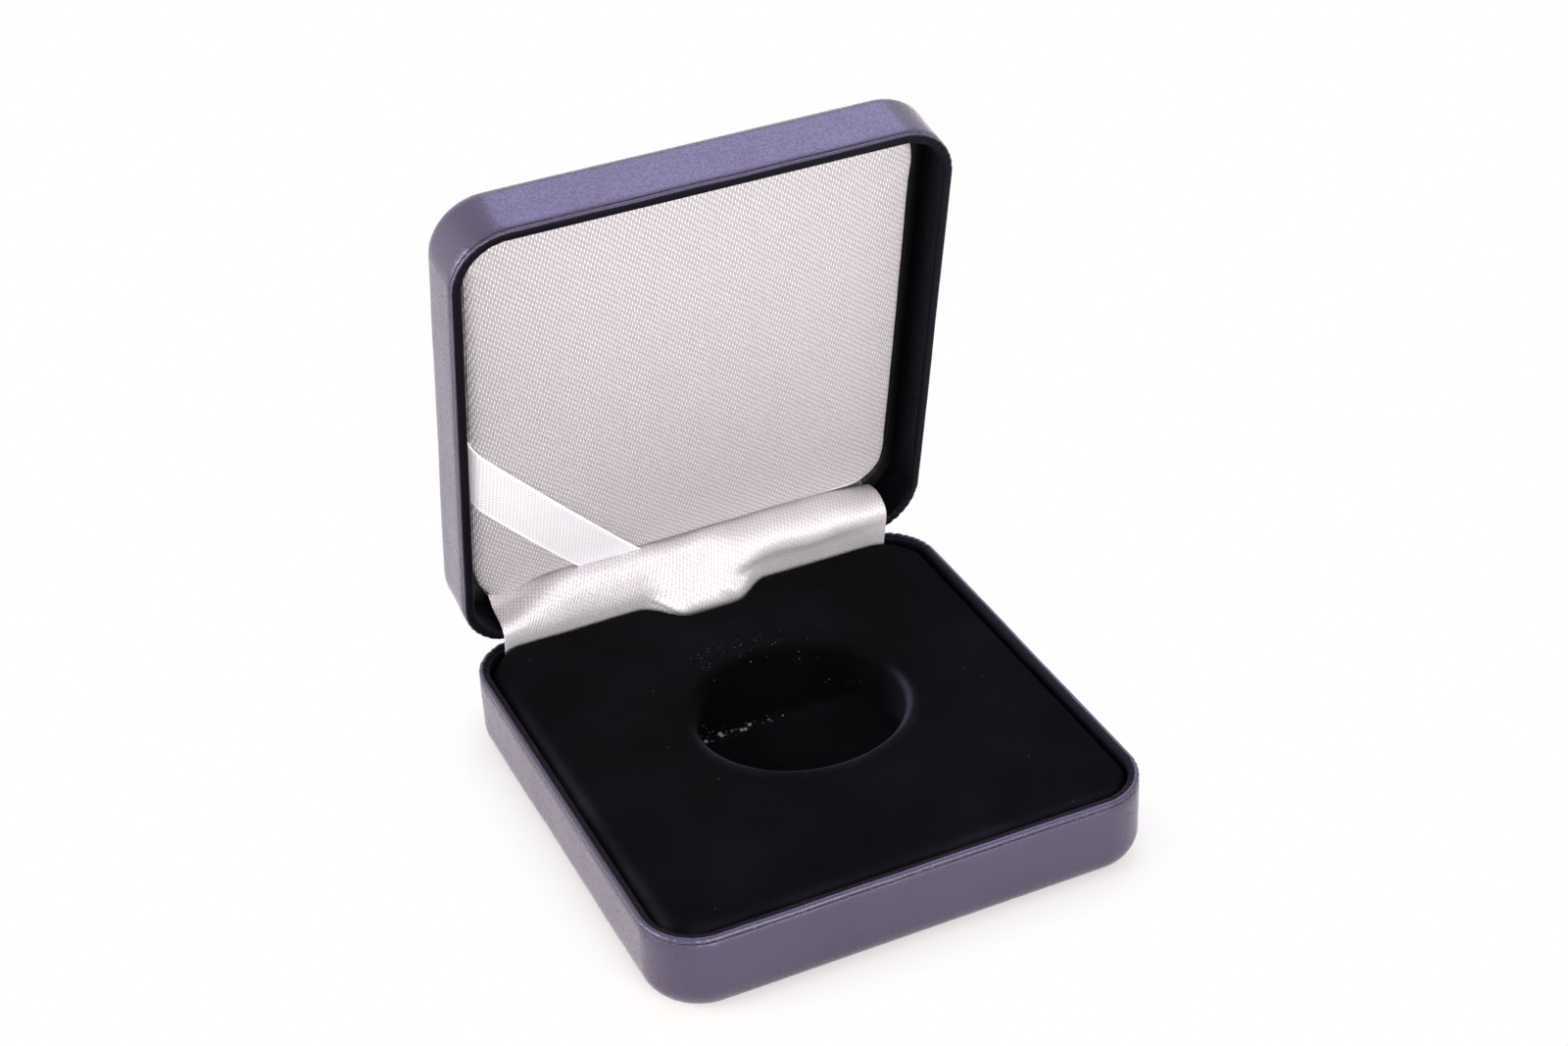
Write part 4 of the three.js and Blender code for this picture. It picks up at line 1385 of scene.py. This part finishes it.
    def shape(self) -> list[np.ndarray]:
        """Shapes the satin, from the middle of its inside, round the edge, to the middle of its face.

        Returns:
            Its rings with the lid closed.
        """
        tuck, roll, back_drop = self.tuck, self.roll, self.back - self.edge_depth
        rings = [
            self.ring(roll + 12, 0.0, self.skin, 1),
            self.ring(tuck, self.back - self.edge_depth - self.skin, self.skin, 0),
        ]
        for inset, drop in ((1.0, 1.0), (0.75, 0.8), (0.4, 0.62)):
            rings.append(self.ring(tuck * inset, back_drop * drop, 0, 0))
        for sine, cosine in arc(12, QUARTER, 0.0):
            rings.append(self.ring(roll * (1 - sine), roll * (1 - cosine), 0, 1))
        for share in (*np.linspace(0.02, 0.3, 14), *np.linspace(0.34, 0.97, 18)):
            rings.append(self.ring(roll + (self.half_width - roll) * share, 0, 0, 1))
        return rings

    def build(self) -> None:
        """Builds the pad in the open lid."""
        rings = self.shape()
        opened = [turned(ring) for ring in rings]
        pad = closed_body("lid_pad_satin_cover", opened, 80, np.vstack(rings)[:, :2])
        pad.data.materials.append(self.satin)
        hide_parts("lid_pad_satin")
        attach(pad, "lid")
        log.info("lid pad built with %d faces", len(pad.data.polygons))


@dataclass
class CornerRibbon:
    """Ribbon across the pad's rear left corner, pulled tight and tucked behind its edges."""

    twill: bpy.types.Material
    pad: LidPad
    thickness: float = 0.3
    lift: float = 0.15
    tuck: float = 2.6
    rows: int = 90
    columns: int = 25
    # Distances from its edge between which the weave turns into the firm border.
    border: tuple = (0.55, 0.3)

    def bent(self, distance: np.ndarray, edge: float) -> tuple[np.ndarray, np.ndarray]:
        """Bends distances over the pad's rolled edge.

        Args:
            distance: Distances from the middle of the pad along its face.
            edge: Distance of the edge that they bend over.

        Returns:
            Distances along the pad and drops behind its face.
        """
        roll = self.pad.roll
        past = np.maximum(distance - (edge - roll), 0)
        angle = np.minimum(past / roll, QUARTER)
        along = np.minimum(distance, edge - roll) + roll * np.sin(angle)
        return along, roll * (1 - np.cos(angle)) + np.maximum(past - roll * QUARTER, 0)

    def build(self) -> None:
        """Builds the ribbon on the open lid."""
        pad = self.pad
        left_reach, _, width = pad.ribbon_line
        start, end = pad.ribbon_ends()
        direction = unit(end - start)
        sideways = np.array([-direction[1], direction[0]])
        rolled = pad.roll * (QUARTER - 1) + self.tuck
        stand = self.lift + self.thickness / 2
        columns = width / 2 * np.sin(np.linspace(-QUARTER, QUARTER, self.columns))
        first = -(rolled + columns * sideways[0]) / direction[0]
        last = (left_reach + rolled - columns * sideways[1]) / direction[1]
        rows, cloth = [], []
        for u in np.linspace(0, 1, self.rows):
            reach = first + (last - first) * u
            place = start + sideways * columns[:, None] + direction * reach[:, None]
            left, left_drop = self.bent(pad.aside - place[:, 0], pad.half_width + stand)
            rear, rear_drop = self.bent(place[:, 1], pad.rear + stand)
            rise = pad.crown_at(pad.aside - left, rear)
            ripple = 0.03 * (1 + wobble(raised(place, 0), 9, 77))
            z = LID_RIM + pad.edge_depth - stand + left_drop + rear_drop - rise - ripple
            rows.append(np.column_stack([pad.aside - left, rear, z]))
            cloth.append(np.column_stack([reach, columns]))
        ribbon = sheet_mesh(
            "corner_ribbon_twill", turned(np.array(rows)), self.thickness, np.array(cloth)
        )
        loose, firm = (width / 2 - inward for inward in self.border)
        share = np.tile(smoothstep(loose, firm, np.abs(columns)), 2 * self.rows)
        selvedge = np.ones(len(ribbon.data.vertices))
        selvedge[: len(share)] = share
        paint(ribbon, "selvedge", selvedge)
        ribbon.data.materials.append(self.twill)
        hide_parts("corner_ribbon")
        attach(ribbon, "lid")
        log.info("corner ribbon built")


@dataclass
class SnapSpring:
    """Sprung steel band before the hinge pin, fixed to both leaves, which bends with the lid."""

    steel: bpy.types.Material
    half_width: float = 13.0
    columns: int = 9
    samples: int = 56
    thickness: float = 0.3
    # Where the band bends with the base and with the lid: places along and above the base.
    bend: tuple = ((43.2, 17.5), (48.5, 21.0))
    path: tuple = (
        (43.85, 12.1), (43.88, 13.45), (43.86, 14.8), (43.68, 16.14), (43.43, 17.46),
        (43.21, 18.79), (43.16, 20.13), (43.36, 20.78), (43.69, 21.37), (44.2, 21.79),
        (44.84, 21.98), (45.51, 21.94), (46.12, 21.65), (47.28, 20.98), (47.9, 20.7),
        (48.55, 20.57), (49.22, 20.66), (51.18, 21.16),
    )

    def build(self) -> None:
        """Builds the band in its open-pose shape between the two leaves."""
        line = even_curve([(0.0, y, z) for y, z in self.path], self.samples)
        places = np.linspace(-self.half_width, self.half_width, self.columns)
        rows = np.repeat(line[:, None, :], self.columns, axis=1)
        rows[:, :, 0] = places
        cloth = np.stack(np.meshgrid(places, travel_of(line)), axis=2)
        band = sheet_mesh("snap_spring_band", rows, self.thickness, cloth, edge_roll=False)
        band.data.materials.append(self.steel)
        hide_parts("snap_spring")
        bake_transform(band)
        log.info("snap spring built")


@dataclass
class SpineSatin:
    """Satin that hides the hinge, from behind the pad's rear edge down behind the insert."""

    satin: bpy.types.Material
    half_width: float = 37.9
    columns: int = 121
    samples: int = 64
    thickness: float = 0.25
    reach: float = 10.0
    channel: float = 3.7
    tuck_gap: float = 0.1
    wave_height: float = 0.2
    wave_length: float = 13.0
    # Heights above the lid's rim of the end that is tucked behind the pad.
    lid_tuck: tuple = (11.25, 8.4)
    # Share of the notch's dip and height of each point of the end behind the insert.
    base_tuck: tuple = ((1.0, INSERT_TOP), (1.0, 14.6), (0.5, 12.8), (0.0, 11.0))
    notch: tuple = (0.8, 5.0, 4.5, 12.5)
    # Places across the box between which one path of the satin turns into the next.
    stations: tuple = (-37.9, -24.0, 1.0, 9.0, 24.0, 37.9)
    # Start, end, width and depth of each crease, seen from the front.
    creases: tuple = (
        ((-9.2, 18.4), (-4.6, 15.9), 0.65, 1.0),
        ((3.4, 19.6), (6.4, 16.2), 1.1, 0.45),
    )
    # Paths of the satin: how far it stands before and above the hinge pin, as shares of reach.
    left: tuple = (
        (-0.48, 0.56), (-0.36, 0.46), (-0.22, 0.36), (-0.02, 0.3), (0.18, 0.23), (0.27, 0.13),
        (0.27, 0.0), (0.24, -0.12), (0.2, -0.22),
    )
    middle: tuple = (
        (-0.33, 0.74), (-0.21, 0.8), (-0.06, 0.82), (0.08, 0.77), (0.19, 0.6), (0.26, 0.36),
        (0.29, 0.1), (0.25, -0.09), (0.205, -0.22),
    )
    under: tuple = (
        (-0.34, 0.76), (-0.2, 0.83), (0.02, 0.84), (0.26, 0.75), (0.44, 0.55), (0.46, 0.32),
        (0.31, 0.11), (0.25, -0.04), (0.205, -0.2),
    )
    right: tuple = (
        (-0.43, 0.6), (-0.2, 0.67), (0.03, 0.67), (0.24, 0.59), (0.36, 0.46), (0.37, 0.31),
        (0.32, 0.12), (0.27, -0.06), (0.22, -0.2),
    )

    def column(self, x: float) -> np.ndarray:
        """Path of the satin at one place across the box.

        Args:
            x: Place across the box in millimetres.

        Returns:
            Points from the lid down to the base, one row each.
        """
        wave = self.wave_height * math.sin(2 * math.pi * x / self.wave_length)
        calm = float(smoothstep(self.half_width, self.half_width - 14, abs(x)))
        names = (self.left, self.middle, self.middle, self.under, self.under, self.right)
        tables = [np.array(table) for table in names]
        shares = tables[0]
        spans = zip(self.stations, self.stations[1:], tables, tables[1:])
        for start, end, table, following in spans:
            if start <= x:
                shares = table + (following - table) * float(smoothstep(start, end, x))
        middle, depth, floor, mouth = self.notch
        dip = depth * (1 - float(smoothstep(floor, mouth, abs(x - middle))))
        inner = CORNER_RADIUS - WALL
        past = max(abs(x) - (BOX_WIDTH / 2 - CORNER_RADIUS), 0)
        drop = inner - math.sqrt(inner * inner - past * past)
        lid_rear = BOX_DEPTH / 2 - self.channel - drop
        tuck = INSERT_REAR + self.tuck_gap + self.thickness / 2 - drop
        count = len(shares)
        share = np.sin(math.pi * (np.arange(count) + 1) / (count + 1))
        down = smoothstep(0.45, 1.0, np.arange(count) / (count - 1))
        y = HINGE_Y - shares[:, 0] * self.reach - drop * (1 - share) - dip * down
        z = HINGE_Z + shares[:, 1] * self.reach + wave * calm * share
        upper = turned([[x, lid_rear, LID_RIM + up] for up in self.lid_tuck])
        visible = np.column_stack([np.full(count, x), y, z])
        lower = [[x, tuck - dip * part, height] for part, height in self.base_tuck]
        return even_curve(np.vstack([upper, visible, lower]), self.samples)

    def build(self) -> None:
        """Builds the satin in its open-pose shape between the two trays."""
        across = np.linspace(-1, 1, self.columns)
        places = self.half_width * (across + 0.2 * across * (1 - across * across))
        rows = np.stack([self.column(float(x)) for x in places], axis=1)
        rows = self.wrinkled(rows, places)
        lengths = travel_of(rows[:, self.columns // 2])
        cloth = np.stack(np.meshgrid(places, lengths), axis=2)
        satin = sheet_mesh("spine_satin_cover", rows, self.thickness, cloth)
        satin.data.materials.append(self.satin)
        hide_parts("spine_satin")
        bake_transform(satin)
        log.info("spine satin built")

    def wrinkled(self, rows: np.ndarray, places: np.ndarray) -> np.ndarray:
        """Adds soft folds to the part of the satin that shows.

        Args:
            rows: Middle points as rows by columns by three.
            places: Place across the box of each column.

        Returns:
            The points with their folds.
        """
        out = unit(np.cross(np.gradient(rows, axis=1), np.gradient(rows, axis=0)))
        share = np.linspace(0, 1, len(rows))[:, None]
        shown = smoothstep(0.12, 0.3, share) * smoothstep(0.86, 0.66, share)
        fade = smoothstep(self.half_width, self.half_width - 6, np.abs(places))[None, :]
        folds = 0.08 * wobble(rows * (1.0, 0.35, 0.35), 16, 52) + 0.02 * wobble(rows, 6, 53)
        for begin, finish, width, depth in self.creases:
            start, end = np.array(begin), np.array(finish)
            length = np.linalg.norm(end - start)
            direction = (end - start) / length
            away = rows[..., [0, 2]] - (start + end) / 2
            past = away @ direction / (length / 2)
            aside = (away[..., 0] * direction[1] - away[..., 1] * direction[0]) / width
            folds += depth * np.exp(-(past**4)) * (0.6 * bell(aside - 1.6, 1.0) - bell(aside, 1.0))
        return rows + out * (folds * shown * (0.35 + 0.65 * fade))[..., None]


@dataclass
class KeptPieces:
    """CAD pieces that keep their own solids and only get their finish."""

    slot: str
    material: bpy.types.Material
    names: Sequence[str]

    def dress(self) -> None:
        """Puts the finish on each piece."""
        for name in self.names:
            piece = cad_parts[name]
            piece.data.materials.clear()
            piece.data.materials.append(self.material)
            piece.data.set_sharp_from_angle(angle=math.radians(40))
            log.info("%s gets %s", name, self.material.name)


@dataclass(frozen=True)
class Lamp:
    """Soft square lamp that faces the box: place and side in metres, power in watts."""

    name: str
    place: tuple
    side: float
    power: float
    color: tuple
    aim: tuple = (0.0, 0.0, 0.04)

    def hang(self) -> None:
        """Adds the lamp to the scene."""
        data = bpy.data.lights.new(self.name, "AREA")
        data.size, data.energy, data.color = self.side, self.power, self.color
        lamp = bpy.data.objects.new(self.name, data)
        bpy.context.collection.objects.link(lamp)
        lamp.location = self.place
        aim = Vector(self.aim) - Vector(self.place)
        lamp.rotation_euler = aim.to_track_quat("-Z", "Y").to_euler()


@dataclass
class Studio:
    """Pale floor, white surroundings, soft lamps and the camera."""

    lens: float = 65.16
    place: tuple = (-156.69, -360.04, 309.23)
    right: tuple = (0.90573, -0.42176, -0.04212)
    up: tuple = (0.26127, 0.47728, 0.83902)
    back: tuple = (-0.33376, -0.77093, 0.54247)
    world_strength: float = 0.5
    floor_half: float = 1500.0
    floor_drop: float = 0.05
    # Distances from the box's edge between which the seen shadow fades out, and its strength.
    shadow_fade: tuple = (-4.0, 8.0)
    shadow_white: float = 0.3
    mirror_fade: float = 40.0
    lamps: tuple = (
        Lamp("left lamp", (-1.0, 0.1, 0.36), 0.7, 12.0, (1, 0.97, 0.985)),
        Lamp("front lamp", (0.0, -0.6, 0.2), 0.4, 5.0, (1, 0.985, 0.98)),
        Lamp("top lamp", (0.4, 0.58, 0.97), 0.6, 4.2, (0.62, 0.58, 1.0)),
    )

    def build_floor(self) -> None:
        """Lays the pale floor, which looks white to the camera except where a shadow falls."""
        far = self.floor_half
        corners = np.array([(-far, -far, 0), (far, -far, 0), (far, far, 0), (-far, far, 0)])
        floor = mesh_object("floor", corners, [(0, 1, 2, 3)])
        floor.location.z = -self.floor_drop * MM
        material, sketch, shader = start_material("pale floor")
        paper = {"Base Color": (0.9, 0.86, 0.82, 1), "Roughness": 0.9, "Specular IOR Level": 0.1}
        sketch.fill(shader, paper)
        rays = sketch.add("ShaderNodeLightPath").outputs
        glow = sketch.add("ShaderNodeEmission", {"Color": (1, 1, 1, 1), "Strength": 1.0})
        core = ((BOX_WIDTH / 2 - CORNER_RADIUS) * MM, (BOX_DEPTH / 2 - CORNER_RADIUS) * MM, 0.0)
        past = sketch.vector("ABSOLUTE", sketch.place()).outputs[0]
        past = sketch.vector("SUBTRACT", past, core).outputs[0]
        past = sketch.vector("MAXIMUM", past, (0.0, 0.0, 0.0)).outputs[0]
        apart = sketch.vector("LENGTH", past).outputs["Value"]
        edge = CORNER_RADIUS * MM
        near, far = (edge + distance * MM for distance in self.shadow_fade)
        for_camera = sketch.span(apart, near, far, self.shadow_white, 1.0)
        for_gloss = sketch.span(apart, edge, edge + self.mirror_fade * MM)
        through = sketch.math("MAXIMUM", rays["Is Glossy Ray"], rays["Is Transmission Ray"])
        seen = sketch.times(rays["Is Camera Ray"], for_camera)
        seen = sketch.plus(seen, sketch.times(through, for_gloss), clamp=True)
        sockets = {0: seen, 1: shader.outputs[0], 2: glow.outputs[0]}
        mix = sketch.add("ShaderNodeMixShader", sockets)
        output = next(n for n in sketch.tree.nodes if n.bl_idname == "ShaderNodeOutputMaterial")
        sketch.fill(output, {0: mix.outputs[0]})
        floor.data.materials.append(material)

    def build_world(self) -> None:
        """Makes soft even light all round and a white background."""
        world = bpy.data.worlds.new("white studio")
        bpy.context.scene.world = world
        world.use_nodes = True
        sketch = NodeSketch(world.node_tree)
        sketch.tree.nodes.clear()
        rays = sketch.add("ShaderNodeLightPath").outputs
        seen = sketch.math("MAXIMUM", rays["Is Camera Ray"], rays["Is Transmission Ray"])
        seen = sketch.math("MAXIMUM", seen, rays["Is Glossy Ray"])
        strength = sketch.span(seen, 0, 1, self.world_strength, 1.0)
        light = sketch.add("ShaderNodeBackground", {"Color": (1, 1, 1, 1), "Strength": strength})
        sketch.add("ShaderNodeOutputWorld", {0: light.outputs[0]})

    def build_camera(self) -> None:
        """Sets up the camera as the photograph was taken."""
        data = bpy.data.cameras.new("camera")
        data.lens, data.sensor_width = self.lens, 36.0
        data.clip_start, data.clip_end = 0.01, 20
        camera = bpy.data.objects.new("camera", data)
        bpy.context.collection.objects.link(camera)
        turn = Matrix((self.right, self.up, self.back)).transposed().to_4x4()
        camera.matrix_world = Matrix.Translation(Vector(self.place) * MM) @ turn
        bpy.context.scene.camera = camera

    def build(self) -> None:
        """Builds the whole studio."""
        self.build_floor()
        self.build_world()
        for lamp in self.lamps:
            lamp.hang()
        self.build_camera()
        bpy.context.scene.view_settings.view_transform = "Standard"
        log.info("studio built")


def dress_kept_pieces(shelf: EffectShelf) -> None:
    """Gives the CAD pieces that stay solids their finishes.

    Args:
        shelf: Shared effects.
    """
    # near-black steel for the two shells, which show mostly in the dark channel round the lid's pad
    near_black_steel = SheetMetal("near-black shell steel", (0.012, 0.012, 0.014, 1), 0.5, 0.0)
    card = FibreStuff("grey card", (0.32, 0.29, 0.25, 1), (0.2, 0.18, 0.155, 1), 900.0)
    foam = FibreStuff("foam", (0.55, 0.52, 0.42, 1), (0.25, 0.23, 0.18, 1), 2200.0, 0.0004)
    wadding = FibreStuff("wadding", (0.82, 0.81, 0.79, 1), (0.6, 0.59, 0.57, 1), 1500.0, 0.0005)
    rivets = [f"{side}_rivet_{number}" for side in ("base", "lid") for number in range(1, 5)]
    hinge = ["hinge_leaf_base", "hinge_leaf_lid", "hinge_pin", *rivets]
    for slot, finish, names in (
        ("steel", near_black_steel, ["base_shell", "lid_shell"]),
        ("steel", SheetMetal("plated steel"), hinge),
        ("card", card, ["base_floor_card", "insert_board", "lid_pad_board"]),
        ("foam", foam, ["insert_foam"]),
        ("wadding", wadding, ["lid_pad_wadding"]),
    ):
        KeptPieces(slot, finish.make(shelf), names).dress()


def main() -> None:
    """Builds and dresses the box in its studio."""
    logging.basicConfig(level=logging.INFO, format="%(name)s: %(message)s")
    shelf = EffectShelf()
    outside = Leatherette("leatherette").make(shelf)
    # darker, duller copy of the leatherette for the rim's top and the turned-in cloth: painted shade
    shaded_leatherette = Leatherette(
        "turned-in leatherette in painted shade",
        color=(0.0016, 0.0014, 0.0022, 1),
        crease_color=(0.0006, 0.0006, 0.001, 1),
        reflectance=0.16,
        density=1.45,
        roughness=0.46,
        coat=0.0,
        bloom=0.0,
    ).make(shelf)
    velvet = Velvet("black velvet").make(shelf)
    pad_satin = SatinCloth("pad satin").make(shelf)
    spine_satin = SatinCloth(
        "spine satin", (0.955, 0.94, 0.95, 1), (0.74, 0.69, 0.725, 1), lustre=0.5, depth=0.0002
    ).make(shelf)
    ribbon_twill = SatinCloth(
        "ribbon twill",
        (0.93, 0.915, 0.94, 1),
        (0.7, 0.67, 0.715, 1),
        float_length=0.0009,
        row_height=0.00045,
        shift=0.5,
        shine_length=0.0008,
        looseness=0.05,
        upright=False,
        lustre=0.2,
        depth=0.0001,
    ).make(shelf)
    spring_steel = SheetMetal("spring steel", (0.38, 0.39, 0.41, 1), 0.3).make(shelf)

    TrayCover(
        Tray.BASE,
        outside,
        shaded_leatherette,
        height=BASE_HEIGHT,
        edge_radius=5.0,
        turn_in=8.0,
        gloss_end=-2,
        pleat_seed=5,
        hinge_cuts=((-1.45, 10.6, 17.0),),
    ).build()
    TrayCover(
        Tray.LID,
        outside,
        shaded_leatherette,
        height=LID_HEIGHT,
        edge_radius=3.5,
        turn_in=8.5,
        gloss_end=-5,
        pleat_seed=9,
        hinge_cuts=((-1.45, 15.4, 26.4), (1.0, 15.4, HINGE_Z + 1.55)),
    ).build()
    VelvetInsert(velvet).build()
    pad = LidPad(pad_satin)
    pad.build()
    CornerRibbon(ribbon_twill, pad).build()
    SnapSpring(spring_steel).build()
    SpineSatin(spine_satin).build()
    dress_kept_pieces(shelf)
    Studio().build()


if __name__ == "__main__":
    main()
